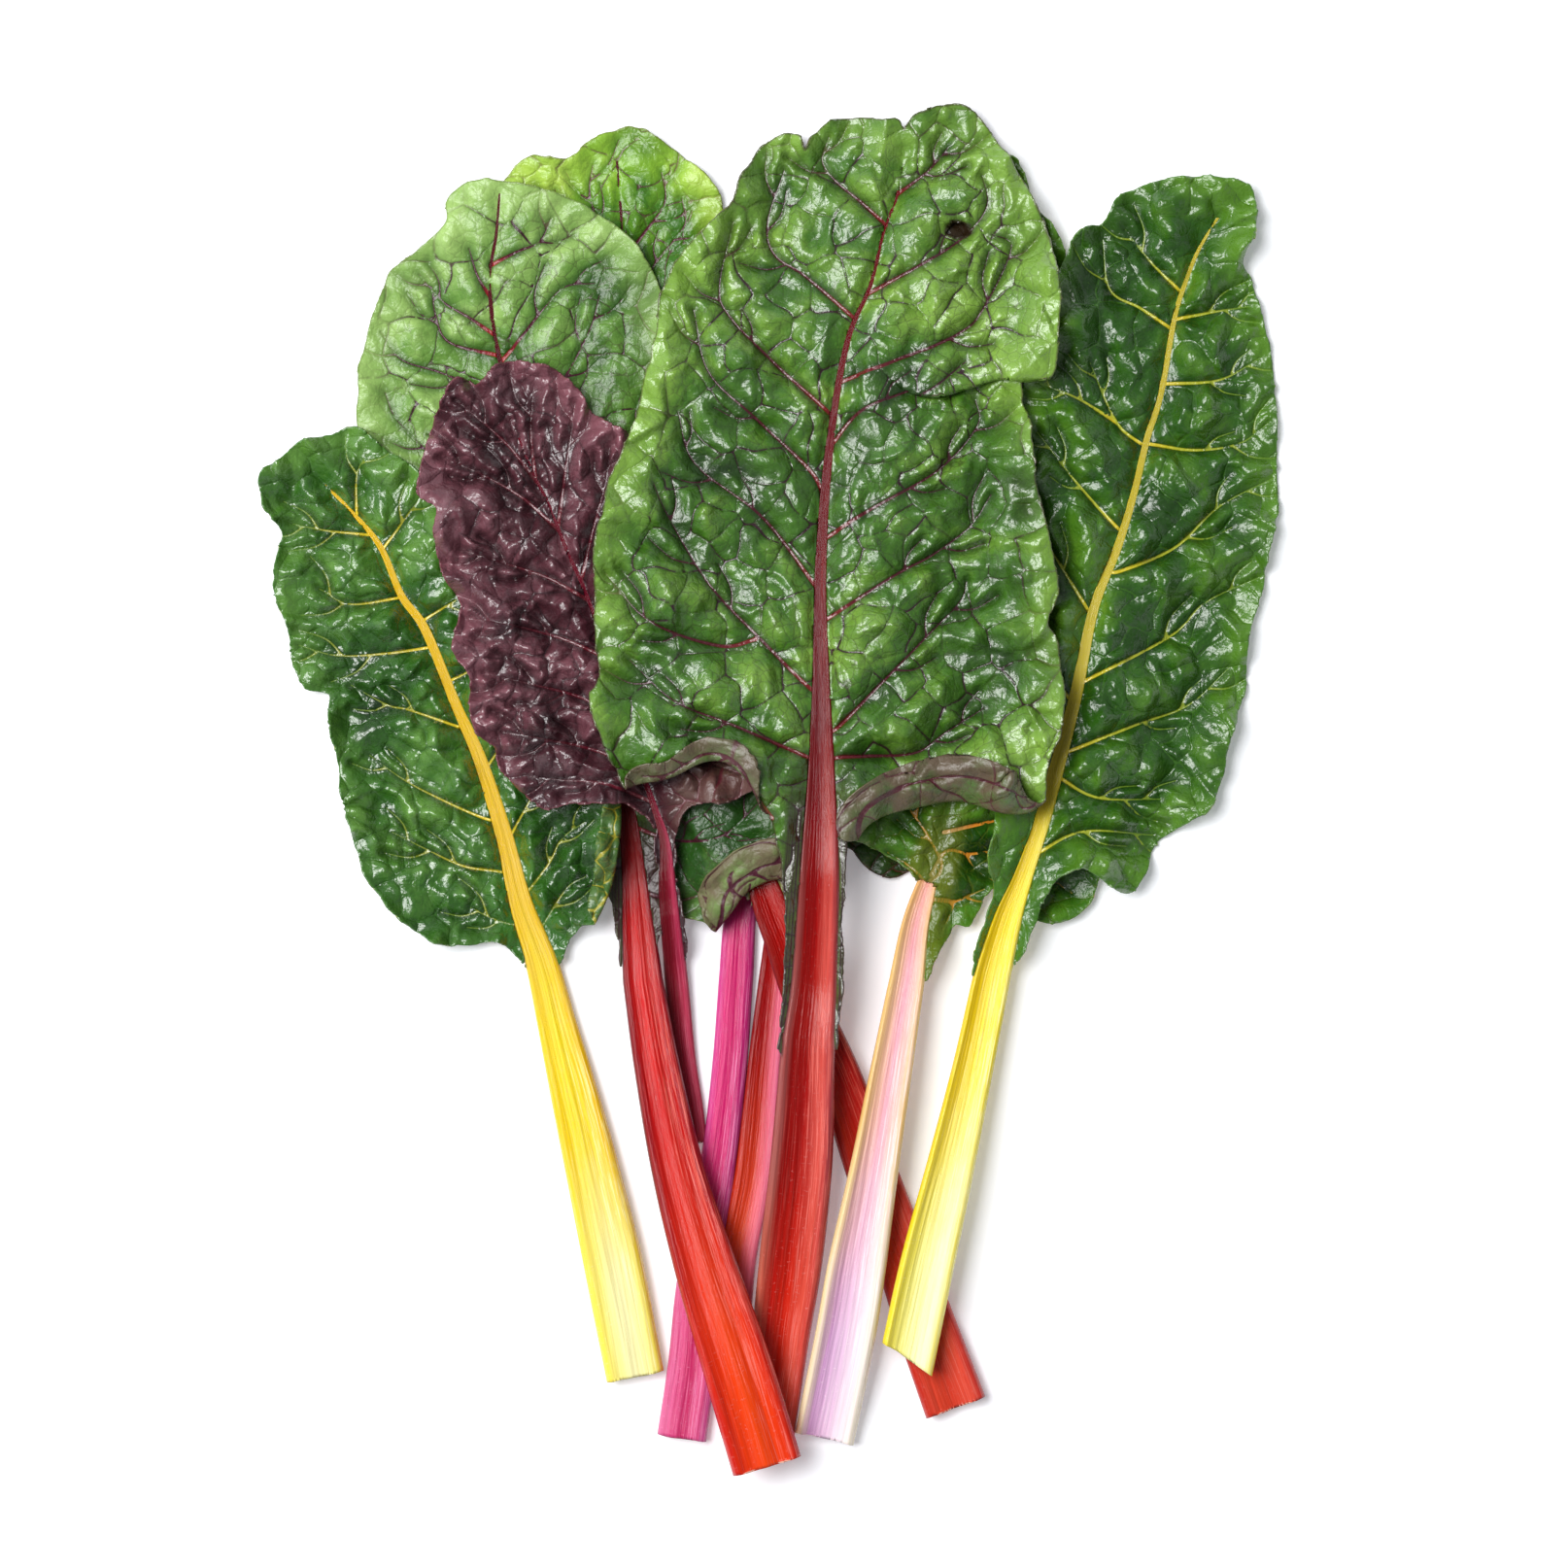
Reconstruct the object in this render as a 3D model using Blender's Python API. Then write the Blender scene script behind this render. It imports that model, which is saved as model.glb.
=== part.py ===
"""A bunch of nine rainbow chard leaves lying flat, stalks towards -Y.

Each leaf is two solids: the fleshy stalk, which runs on as the midrib, and the thin blade on both
sides of it. The leaves are laid one on another from the bottom of the pile to the top, and every
piece takes its height from what is already under it.
"""
import bpy
import numpy as np

MM = 0.001

# Driving dimensions, in millimetres.
BLADE_THICKNESS = 1.2
CLEARANCE = 0.45           # side gap between a midrib and its blade
LAYER_GAP = 0.6            # gap between one layer and the next
STALK_DEPTH_RATIO = 0.4    # depth of a stalk over its width
MIDRIB_LEAST_DEPTH = 1.3
STALK_STATION = 20.0       # spacing of the rings along a bare stalk
BLADE_STATION = 14.0       # spacing of the rows along a blade
BLADE_COLUMNS = 5          # cells from the midrib out to the margin
DROOP_POWER = 1.4          # how quickly a blade falls away from its midrib
MIDRIB_SLOT_END = 2.0      # blade that closes in front of the midrib's tip
RUFFLE_HEIGHT = 6.0        # rise and fall of a blade's margin
RUFFLE_LENGTH = 46.0       # from one rise of the margin to the next

# The pile's height map, in millimetres.
MAP_CELL = 1.5
MAP_HALF_SIZE = 240.0
MAP_REACH = 15.0           # a piece clears everything within this distance of each of its points

# One ring of a stalk: across (half widths) and up (depths). The upper face is a shallow channel.
STALK_SECTION = (
    (-1.0, 0.55), (-0.7, 0.14), (-0.25, 0.0), (0.25, 0.0), (0.7, 0.14), (1.0, 0.55),
    (0.88, 0.95), (0.0, 0.62), (-0.88, 0.95),
)

# Leaves from the bottom of the pile to the top, in millimetres.
# stalk: x, y, height of the underside, width; from the cut end to the last bare ring.
# midrib: x, y, width; from the foot of the blade to the leaf's tip.
# left, right: the margin from the foot of the blade to the tip.
LEAVES = {
    "magenta": {
        "stalk": ((-26, -189, 0, 14.5), (-23, -167, 0, 14), (-21, -142, 0, 12.5), (-15, -106, 0, 10.5),
                  (-12, -80, 0, 10.3), (-10, -53, 0, 10.2)),
        "midrib": ((-9, -37, 9.5), (-7, -19, 7), (-5, 5, 5), (-1, 33, 4), (3, 62, 3), (7, 92, 2.4),
                   (11, 122, 1.6), (13, 145, 1.2)),
        "left": ((-15, -37), (-19, -16), (-26, 6), (-29, 36), (-25, 72), (-16, 108), (-4, 138),
                 (7, 149)),
        "right": ((-3, -37), (8, -18), (20, 12), (27, 42), (29, 82), (27, 118), (20, 142), (15, 150)),
    },
    "inner_red": {
        "stalk": ((-10, -143, 0, 8.6), (-9, -135, 0, 8.8), (-5, -111, 0, 9), (-2, -76, 0, 8.2),
                  (0.5, -53, 0, 8)),
        "midrib": ((3, -37, 7.5), (8, -14, 6), (14, 12, 5), (21, 41, 4.2), (27, 70, 3.2), (32, 98, 2.2),
                   (36, 123, 1.5), (38, 146, 1.2)),
        "left": ((-2, -37), (-3, -13), (-5, 14), (-1, 52), (5, 92), (15, 126), (27, 148), (34, 154)),
        "right": ((10, -37), (20, -23), (30, -23), (40, -23), (47, -5), (54, 26), (58, 64), (59, 104),
                  (54, 134), (46, 151), (40, 154)),
    },
    "crossing_red": {
        "stalk": ((54, -180, 0, 18.5), (46, -158, 0, 17.5), (38, -135, 0, 16), (29, -110, 0.5, 14.8),
                  (20, -84, 3.5, 13.4), (10, -61, 7.5, 12.2), (4, -44, 9.5, 11.4)),
        "midrib": ((-1, -31, 10), (-7, -13, 7), (-14, 10, 5.4), (-21, 38, 4.4), (-29, 72, 3.4),
                   (-36, 106, 2.6), (-40, 135, 2), (-43, 160, 1.4), (-45, 184, 1.2)),
        "left": ((-7, -31), (-15, -19), (-27, -2), (-37, 21), (-45, 47), (-52, 75), (-61, 102),
                 (-72, 132), (-78, 157), (-79, 175), (-71, 185), (-60, 184), (-54, 189), (-49, 192)),
        "right": ((6, -33), (9, -20), (10, -5), (6, 18), (1, 47), (-4, 75), (-6, 103), (-7, 132),
                  (-10, 157), (-14, 171), (-17, 178), (-26, 186), (-35, 192), (-41, 194)),
    },
    "pink_white": {
        "stalk": ((16, -189, 0, 17), (21, -160, 6, 18), (24, -138, 8, 18), (29, -110, 8, 14.5),
                  (34, -81, 9.5, 12.6), (39, -55, 8, 11)),
        "midrib": ((42, -38, 8.5), (46, -22, 6), (51, -5, 5), (57, 18, 4.2), (62, 47, 3.6), (67, 75, 3),
                   (70, 103, 2.4), (72, 132, 1.8), (72, 160, 1.3), (71, 178, 1.2)),
        "left": ((36, -38), (33, -20), (22, -14), (21, 8), (22, 38), (22, 68), (25, 100), (32, 134),
                 (43, 165), (56, 183), (65, 188)),
        "right": ((48, -50), (52, -41), (59, -33), (65, -34), (76, -38), (88, -36), (95, -26), (98, -10),
                  (101, 10), (101, 35), (99, 62), (95, 90), (92, 118), (87, 145), (85, 160), (78, 170),
                  (72, 184)),
    },
    "yellow_right": {
        "stalk": ((39.6, -165, 8, 16.2), (45.3, -138, 8, 15.8), (52, -110, 8, 14), (58.7, -81, 6, 12),
                  (64.6, -53, 5, 11)),
        "midrib": ((69, -37, 8.8), (73, -25, 6), (78, -10, 4.8), (82, 7, 5.4), (88, 28, 4.6),
                   (94, 53, 3.6), (101, 71, 3.2), (106, 87, 2.8), (110, 103, 2.6), (114, 116, 2.6),
                   (118, 138, 2.3), (121, 148, 1.8), (125, 158, 1.5), (131, 168, 1.2)),
        "left": ((59, -48), (65, -31), (63, -20), (67, 4), (70, 22), (72, 50), (70, 72), (70, 95),
                 (74, 120), (80, 138), (84, 152), (90, 163), (97, 166), (101, 173), (107, 176),
                 (117, 179), (124, 179)),
        "right": ((73, -48), (77, -37), (81, -28), (90, -23), (103, -30), (109, -25), (113, -15),
                  (122, -9), (130, -2), (134, 16), (139, 32), (140, 47), (143, 60), (148, 82), (148, 99),
                  (147, 121), (143, 140), (141, 149), (138, 155), (141, 163), (141, 174), (136, 178)),
    },
    "red_left": {
        "stalk": ((-1, -196, 9.5, 20.5), (-10, -166, 10.5, 20), (-19, -138, 9, 18), (-27, -110, 7, 15.4),
                  (-33, -81, 6, 13.4), (-37.3, -55, 5, 11.8)),
        "midrib": ((-39, -37, 9.4), (-40, -25, 7.5), (-42, -8, 6.2), (-47, 15, 5.2), (-55, 47, 4),
                   (-63, 78, 3), (-72, 103, 2.4), (-79, 125, 1.8), (-82, 147, 1.5), (-80, 162, 1.3),
                   (-79, 174, 1.2)),
        "left": ((-45, -55), (-47, -40), (-50, -26), (-56, -9), (-68, 13), (-85, 42), (-102, 70),
                 (-115, 92), (-121, 107), (-120, 122), (-117, 136), (-112, 150), (-103, 158),
                 (-95, 165), (-95, 172), (-90, 177), (-83, 178)),
        "right": ((-31, -40), (-22, -40), (-16, -39), (-10, -32), (0, -24), (5, -19), (5, -10), (-1, 7),
                  (-10, 32), (-18, 58), (-24, 88), (-27, 118), (-31, 143), (-36, 154), (-46, 165),
                  (-57, 172), (-66, 175), (-74, 177)),
    },
    "yellow_left": {
        "stalk": ((-39.5, -171, 0, 17), (-46, -138, 0, 17.3), (-52, -111, 0, 15.8), (-57.5, -88, 0, 13.9),
                  (-62.5, -68, 0, 11.4)),
        "midrib": ((-67, -50, 9.6), (-73, -33, 8), (-78, -13, 6.2), (-85, 9, 5.4), (-92, 25, 4),
                   (-101, 47, 3.7), (-108, 57, 3), (-114, 71, 2.5), (-122, 81, 1.7), (-131, 90, 1.2)),
        "left": ((-73, -50), (-80, -44), (-88, -45), (-98, -44), (-108, -37), (-116, -28), (-121, -17),
                 (-125, -3), (-126, 9), (-129, 22), (-129, 28), (-136, 30), (-140, 38), (-141, 47),
                 (-145, 60), (-143, 75), (-148, 84), (-149, 92), (-143, 97), (-138, 101)),
        "right": ((-60.5, -50), (-58, -39), (-51, -37), (-49, -24), (-46, -10), (-44, -3), (-55, 7),
                  (-66, 21), (-75, 43), (-83, 66), (-95, 86), (-105, 95), (-113, 99), (-121, 106),
                  (-130, 104)),
    },
    "purple": {
        "stalk": ((-23.3, -103, 0, 6), (-24, -92, 0, 6), (-25, -78, 0, 6), (-27, -58, 1.5, 5.8)),
        "midrib": ((-29, -37, 5.4), (-31, -20, 5), (-34, -7, 4), (-39, 10, 3.1), (-46, 35, 2.6),
                   (-54, 58, 2.2), (-59, 69, 2), (-65, 84, 1.7), (-69, 92, 1.4), (-76, 109, 1.2)),
        "left": ((-32.5, -46), (-33.8, -31), (-36, -15), (-40, -5), (-50, -3), (-59, -5), (-66, -6), (-73, 0), (-78, 6),
                 (-80, 13), (-84, 16), (-88, 25), (-87, 33), (-92, 41), (-90, 53), (-94, 61), (-98, 75),
                 (-97, 82), (-102, 86), (-102, 92), (-98, 108), (-95, 116), (-91, 120), (-86, 118)),
        "right": ((-24, -46), (-25, -29), (-26, -15), (-23, -6), (-14, -2), (-4, 0), (-2, 7), (-10, 15), (-18, 24), (-27, 44),
                  (-32, 64), (-35, 84), (-39, 100), (-43, 105), (-51, 109), (-55, 115), (-61, 121),
                  (-70, 125), (-79, 124)),
    },
    "centre_red": {
        "stalk": ((-1, -187, 0, 16), (2, -166, 0, 16.5), (3, -158, 1, 17), (6, -135, 5, 18.5),
                  (9, -106, 10, 18), (11, -71, 14, 15.3)),
        "midrib": ((12.5, -55, 13.6), (14, -24, 12), (14.6, 4, 8.8), (14.6, 32, 6), (14.4, 61, 4.3),
                   (16, 89, 3.4), (19, 114, 2.8), (23, 133, 2.2), (29, 147, 1.8), (33, 163, 1.5),
                   (37, 174, 1.3), (39, 186, 1.2)),
        "left": ((4.5, -56), (5, -33), (4.5, -16), (1, -2), (-15, 6), (-27, 4), (-36, 2), (-41, 4),
                 (-47, 12), (-53, 27), (-50, 33), (-51, 55), (-50, 75), (-47, 88), (-40, 107),
                 (-36, 122), (-31, 145), (-28, 154), (-19, 164), (-12, 171), (-9, 179), (-3, 187),
                 (3, 191), (11, 191), (19, 196), (26, 197), (33, 196)),
        "right": ((20, -56), (21, -33), (23, -16), (28, -9), (42, -3), (51, -2), (61, -1), (73, -4),
                  (77, -5), (81, 7), (84, 16), (85, 28), (83, 44), (80, 49), (83, 58), (81, 71),
                  (77, 89), (75, 108), (73, 120), (80, 124), (83, 133), (84, 145), (81, 160), (78, 168),
                  (73, 179), (66, 189), (59, 198), (54, 200), (48, 199), (43, 197)),
    },
}

# Colour (linear red, green, blue) and roughness of each piece.
FINISH = {
    "magenta_stalk": ((0.58, 0.06, 0.24), 0.35),
    "magenta_blade": ((0.05, 0.12, 0.03), 0.4),
    "inner_red_stalk": ((0.52, 0.02, 0.05), 0.35),
    "inner_red_blade": ((0.04, 0.10, 0.03), 0.4),
    "crossing_red_stalk": ((0.42, 0.02, 0.02), 0.35),
    "crossing_red_blade": ((0.13, 0.28, 0.04), 0.4),
    "pink_white_stalk": ((0.76, 0.42, 0.48), 0.35),
    "pink_white_blade": ((0.06, 0.17, 0.03), 0.4),
    "yellow_right_stalk": ((0.88, 0.65, 0.10), 0.35),
    "yellow_right_blade": ((0.04, 0.13, 0.03), 0.35),
    "red_left_stalk": ((0.60, 0.04, 0.02), 0.35),
    "red_left_blade": ((0.16, 0.33, 0.07), 0.4),
    "yellow_left_stalk": ((0.90, 0.62, 0.05), 0.35),
    "yellow_left_blade": ((0.02, 0.10, 0.03), 0.35),
    "purple_stalk": ((0.20, 0.01, 0.03), 0.35),
    "purple_blade": ((0.13, 0.03, 0.04), 0.35),
    "centre_red_stalk": ((0.45, 0.02, 0.02), 0.35),
    "centre_red_blade": ((0.06, 0.18, 0.03), 0.4),
}


def curve_through(points, samples=24):
    """A smooth curve through the points, as an array with many rows."""
    points = np.array(points, dtype=float)
    padded = np.vstack([2 * points[0] - points[1], points, 2 * points[-1] - points[-2]])
    steps = np.linspace(0, 1, samples, endpoint=False)[:, None]
    pieces = []
    for before, start, end, after in zip(padded, padded[1:], padded[2:], padded[3:]):
        pieces.append(0.5 * (2 * start + (end - before) * steps
                             + (2 * before - 5 * start + 4 * end - after) * steps ** 2
                             + (3 * start - before - 3 * end + after) * steps ** 3))
    pieces.append(points[-1:])
    return np.vstack(pieces)


def evenly(curve, count):
    """count rows at equal distances along a curve, measured in its first two columns."""
    lengths = np.hypot(*np.diff(curve[:, :2], axis=0).T)
    along = np.concatenate([[0.0], np.cumsum(lengths)])
    wanted = np.linspace(0, along[-1], count)
    return np.column_stack([np.interp(wanted, along, column) for column in curve.T])


def length_of(curve):
    return np.hypot(*np.diff(curve[:, :2], axis=0).T).sum()


def side_directions(line):
    """Unit vectors that point to the right of a line, seen from above."""
    forward = np.gradient(line[:, :2], axis=0)
    forward /= np.hypot(*forward.T)[:, None]
    return np.column_stack([forward[:, 1], -forward[:, 0]])


class Pile:
    """Height of the top of the pile over a square map."""

    def __init__(self):
        self.count = int(2 * MAP_HALF_SIZE / MAP_CELL)
        self.top = np.zeros((self.count, self.count))

    def cells(self, xy):
        return np.clip(((xy + MAP_HALF_SIZE) / MAP_CELL).astype(int), 0, self.count - 1)

    def widened(self):
        """The highest top within reach of each cell."""
        reach = int(MAP_REACH / MAP_CELL)
        result = self.top
        for axis in (0, 1):
            source = result
            for shift in range(-reach, reach + 1):
                result = np.maximum(result, np.roll(source, shift, axis=axis))
        return result

    def needed(self, xy):
        """Lowest height at which a piece may pass over each point."""
        column, row = self.cells(xy).T
        under = self.widened()[column, row]
        return np.where(under > 0, under + LAYER_GAP, 0.0)

    def add(self, grid):
        """Raise the map to a grid of points, rows by columns by xyz."""
        steps = np.linspace(0, 1, 12)
        for a in steps:
            for b in steps:
                spot = ((1 - a) * (1 - b) * grid[:-1, :-1] + a * (1 - b) * grid[1:, :-1]
                        + (1 - a) * b * grid[:-1, 1:] + a * b * grid[1:, 1:]).reshape(-1, 3)
                column, row = self.cells(spot[:, :2]).T
                np.maximum.at(self.top, (column, row), spot[:, 2])


def principled(name, colour, roughness):
    material = bpy.data.materials.new(name)
    material.use_nodes = True
    shader = material.node_tree.nodes["Principled BSDF"]
    shader.inputs["Base Color"].default_value = (*colour, 1.0)
    shader.inputs["Roughness"].default_value = roughness
    shader.inputs["Metallic"].default_value = 0.0
    return material


def add_solid(name, vertices, faces):
    mesh = bpy.data.meshes.new(name)
    mesh.from_pydata([tuple(vertex * MM) for vertex in vertices], [], faces)
    mesh.validate()
    for polygon in mesh.polygons:
        polygon.use_smooth = True
    colour, roughness = FINISH[name]
    mesh.materials.append(principled(name, colour, roughness))
    solid = bpy.data.objects.new(name, mesh)
    bpy.context.collection.objects.link(solid)
    return solid


def stalk_depth(width):
    return np.maximum(STALK_DEPTH_RATIO * width, MIDRIB_LEAST_DEPTH)


def stalk_rings(line):
    """Rings of the stalk along a line of x, y, underside and width."""
    sides = side_directions(line)
    depth = stalk_depth(line[:, 3])
    rings = []
    for across, up in STALK_SECTION:
        xy = line[:, :2] + sides * (across * line[:, 3:4] / 2)
        rings.append(np.column_stack([xy, line[:, 2] + up * depth]))
    return np.stack(rings, axis=1)


def add_stalk(name, rings):
    stations, points = rings.shape[:2]
    faces = [tuple(reversed(range(points)))]
    for station in range(stations - 1):
        for point in range(points):
            other = (point + 1) % points
            faces.append((station * points + point, station * points + other,
                          (station + 1) * points + other, (station + 1) * points + point))
    last = (stations - 1) * points
    faces.append(tuple(range(last, last + points)))
    flipped = [tuple(reversed(face)) for face in faces]
    return add_solid(name, rings.reshape(-1, 3), flipped)


def blade_half(inner, margin, inner_height, phase, pile):
    """Underside of half a blade: rows from the midrib's edge out to the ruffled margin."""
    share = np.linspace(0, 1, BLADE_COLUMNS + 1)[None, :, None]
    xy = inner[:, None, :] * (1 - share) + margin[:, None, :] * share
    droop = (1 - share[:, :, 0]) ** DROOP_POWER
    along = np.arange(len(margin)) * BLADE_STATION
    ruffle = RUFFLE_HEIGHT / 2 * (1 + np.sin(2 * np.pi * along / RUFFLE_LENGTH + phase))
    natural = inner_height[:, None] * droop + ruffle[:, None] * share[:, :, 0] ** 2
    needed = pile.needed(xy.reshape(-1, 2)).reshape(natural.shape)
    return np.dstack([xy, np.maximum(natural, needed)])


def add_blade(name, left, right, open_rows):
    """A blade from its two halves, which share the middle column past the midrib's tip."""
    rows, columns = left.shape[:2]
    lower = [*left.reshape(-1, 3)]
    numbers_left = np.arange(rows * columns).reshape(rows, columns)
    numbers_right = np.zeros_like(numbers_left)
    for row in range(rows):
        for column in range(columns):
            if column == 0 and row >= open_rows:
                numbers_right[row, column] = numbers_left[row, column]
            else:
                numbers_right[row, column] = len(lower)
                lower.append(right[row, column])
    downward = []
    for row in range(rows - 1):
        for column in range(columns - 1):
            corners = ((row, column), (row + 1, column), (row + 1, column + 1), (row, column + 1))
            downward.append(tuple(int(numbers_left[corner]) for corner in reversed(corners)))
            downward.append(tuple(int(numbers_right[corner]) for corner in corners))
    count = len(lower)
    upper = [point + (0, 0, BLADE_THICKNESS) for point in lower]
    faces = [tuple(number + count for number in reversed(face)) for face in downward]
    faces += downward
    edges = {(face[i], face[(i + 1) % 4]) for face in downward for i in range(4)}
    for start, end in sorted(edges):
        if (end, start) not in edges:
            faces.append((end, start, start + count, end + count))
    return add_solid(name, np.array(lower + upper), faces)


def lay_leaf(name, leaf, pile):
    """Build one leaf on the pile."""
    bare = curve_through(leaf["stalk"])
    foot = bare[-1]
    midrib_xyw = curve_through([(foot[0], foot[1], foot[3])] + list(leaf["midrib"]))
    rows = int(round(length_of(midrib_xyw) / BLADE_STATION)) + 1
    midrib_xyw = evenly(midrib_xyw, rows)
    bare = evenly(bare, int(round(length_of(bare) / STALK_STATION)) + 1)

    # The midrib clears the pile under it, in one sweep with no sudden steps.
    needed = pile.needed(midrib_xyw[:, :2])
    needed = np.maximum(needed, foot[2])
    swept = np.maximum.reduce([needed, np.append(needed[1:], needed[-1]), np.append(needed[0], needed[:-1])])
    swept[0] = foot[2]
    midrib = np.column_stack([midrib_xyw[:, :2], swept, midrib_xyw[:, 2]])
    line = np.vstack([bare, midrib[1:]])
    rings = stalk_rings(line)
    add_stalk(name + "_stalk", rings)

    # The blade starts one row above the last bare ring and ends past the midrib's tip.
    start = midrib[1:]
    sides = side_directions(line)[len(bare):]
    edge = start[:, 3:4] / 2 + CLEARANCE
    rim = start[:, 2] + stalk_depth(start[:, 3]) - BLADE_THICKNESS
    tip = (np.array(leaf["left"][-1]) + np.array(leaf["right"][-1])) / 2
    before_tip = start[-1, :2] + sides[-1, ::-1] * (-1, 1) * MIDRIB_SLOT_END
    ends = np.vstack([before_tip, (before_tip + tip) / 2, tip])
    inner_left = np.vstack([start[:, :2] - sides * edge, ends])
    inner_right = np.vstack([start[:, :2] + sides * edge, ends])
    rim = np.concatenate([rim, [rim[-1]] * len(ends)])
    margin_left = evenly(curve_through(leaf["left"]), len(rim))
    margin_right = evenly(curve_through(leaf["right"]), len(rim))
    left = blade_half(inner_left, margin_left[:, :2], rim, 0.0, pile)
    right = blade_half(inner_right, margin_right[:, :2], rim, np.pi, pile)
    add_blade(name + "_blade", left, right, open_rows=len(start))

    pile.add(left + (0, 0, BLADE_THICKNESS))
    pile.add(right + (0, 0, BLADE_THICKNESS))
    top = rings[:, 5:].copy()
    top[:, :, 2] = rings[:, :, 2].max(axis=1)[:, None]
    pile.add(top)


def centre_on_origin(objects):
    """Put the middle of the bunch's footprint on the origin, with its lowest point at height zero."""
    points = np.array([vertex.co for solid in objects for vertex in solid.data.vertices])
    low, high = points.min(axis=0), points.max(axis=0)
    shift = -np.array([(low[0] + high[0]) / 2, (low[1] + high[1]) / 2, low[2]])
    for solid in objects:
        for vertex in solid.data.vertices:
            vertex.co = vertex.co + type(vertex.co)(shift)


for leftover in list(bpy.data.objects):
    bpy.data.objects.remove(leftover)
pile = Pile()
for leaf_name, leaf in LEAVES.items():
    lay_leaf(leaf_name, leaf, pile)
centre_on_origin(list(bpy.context.collection.objects))
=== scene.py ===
"""The finished look of the chard bunch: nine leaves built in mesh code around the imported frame.

Each leaf is two pieces, as in the frame: a channelled, ribbed stalk that runs on as the midrib, and a
thin puckered blade with its veins pressed in. Leaves are laid from the bottom of the pile to the top;
a height map of the pile tells each one what it rests on.
"""
import math

import bpy
import numpy as np
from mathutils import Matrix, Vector
from mathutils.kdtree import KDTree


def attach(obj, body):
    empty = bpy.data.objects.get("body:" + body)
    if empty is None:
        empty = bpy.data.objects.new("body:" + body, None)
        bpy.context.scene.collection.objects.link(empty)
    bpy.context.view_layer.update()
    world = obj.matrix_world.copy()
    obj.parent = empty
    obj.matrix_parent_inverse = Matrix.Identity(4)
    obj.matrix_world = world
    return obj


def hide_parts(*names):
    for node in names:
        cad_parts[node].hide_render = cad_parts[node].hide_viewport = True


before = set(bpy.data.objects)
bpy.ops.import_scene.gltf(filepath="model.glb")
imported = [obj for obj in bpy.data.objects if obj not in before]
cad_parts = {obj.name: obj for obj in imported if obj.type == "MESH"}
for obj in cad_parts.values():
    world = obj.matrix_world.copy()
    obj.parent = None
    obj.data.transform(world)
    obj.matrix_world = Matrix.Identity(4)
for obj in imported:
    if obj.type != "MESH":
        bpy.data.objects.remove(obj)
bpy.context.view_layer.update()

MM = 0.001
BLADE_THICKNESS = 0.55
LAYER_GAP = 0.35
STALK_DEPTH_RATIO = 0.4
MIDRIB_LEAST_DEPTH = 1.1
JOIN = 0.25                # how far a blade's edge runs into its midrib
HIGH = 26.0                # above this a blade's bulges are pressed to PRESSED of their height
PRESSED = 0.6
LEAST_HEIGHT = 0.02        # nothing of a blade sinks below this

MAP_CELL = 1.5             # of the height map of the pile
MAP_HALF_SIZE = 240.0
DRAPE_REACH = 3            # cells of the map that a limp blade bridges

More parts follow.
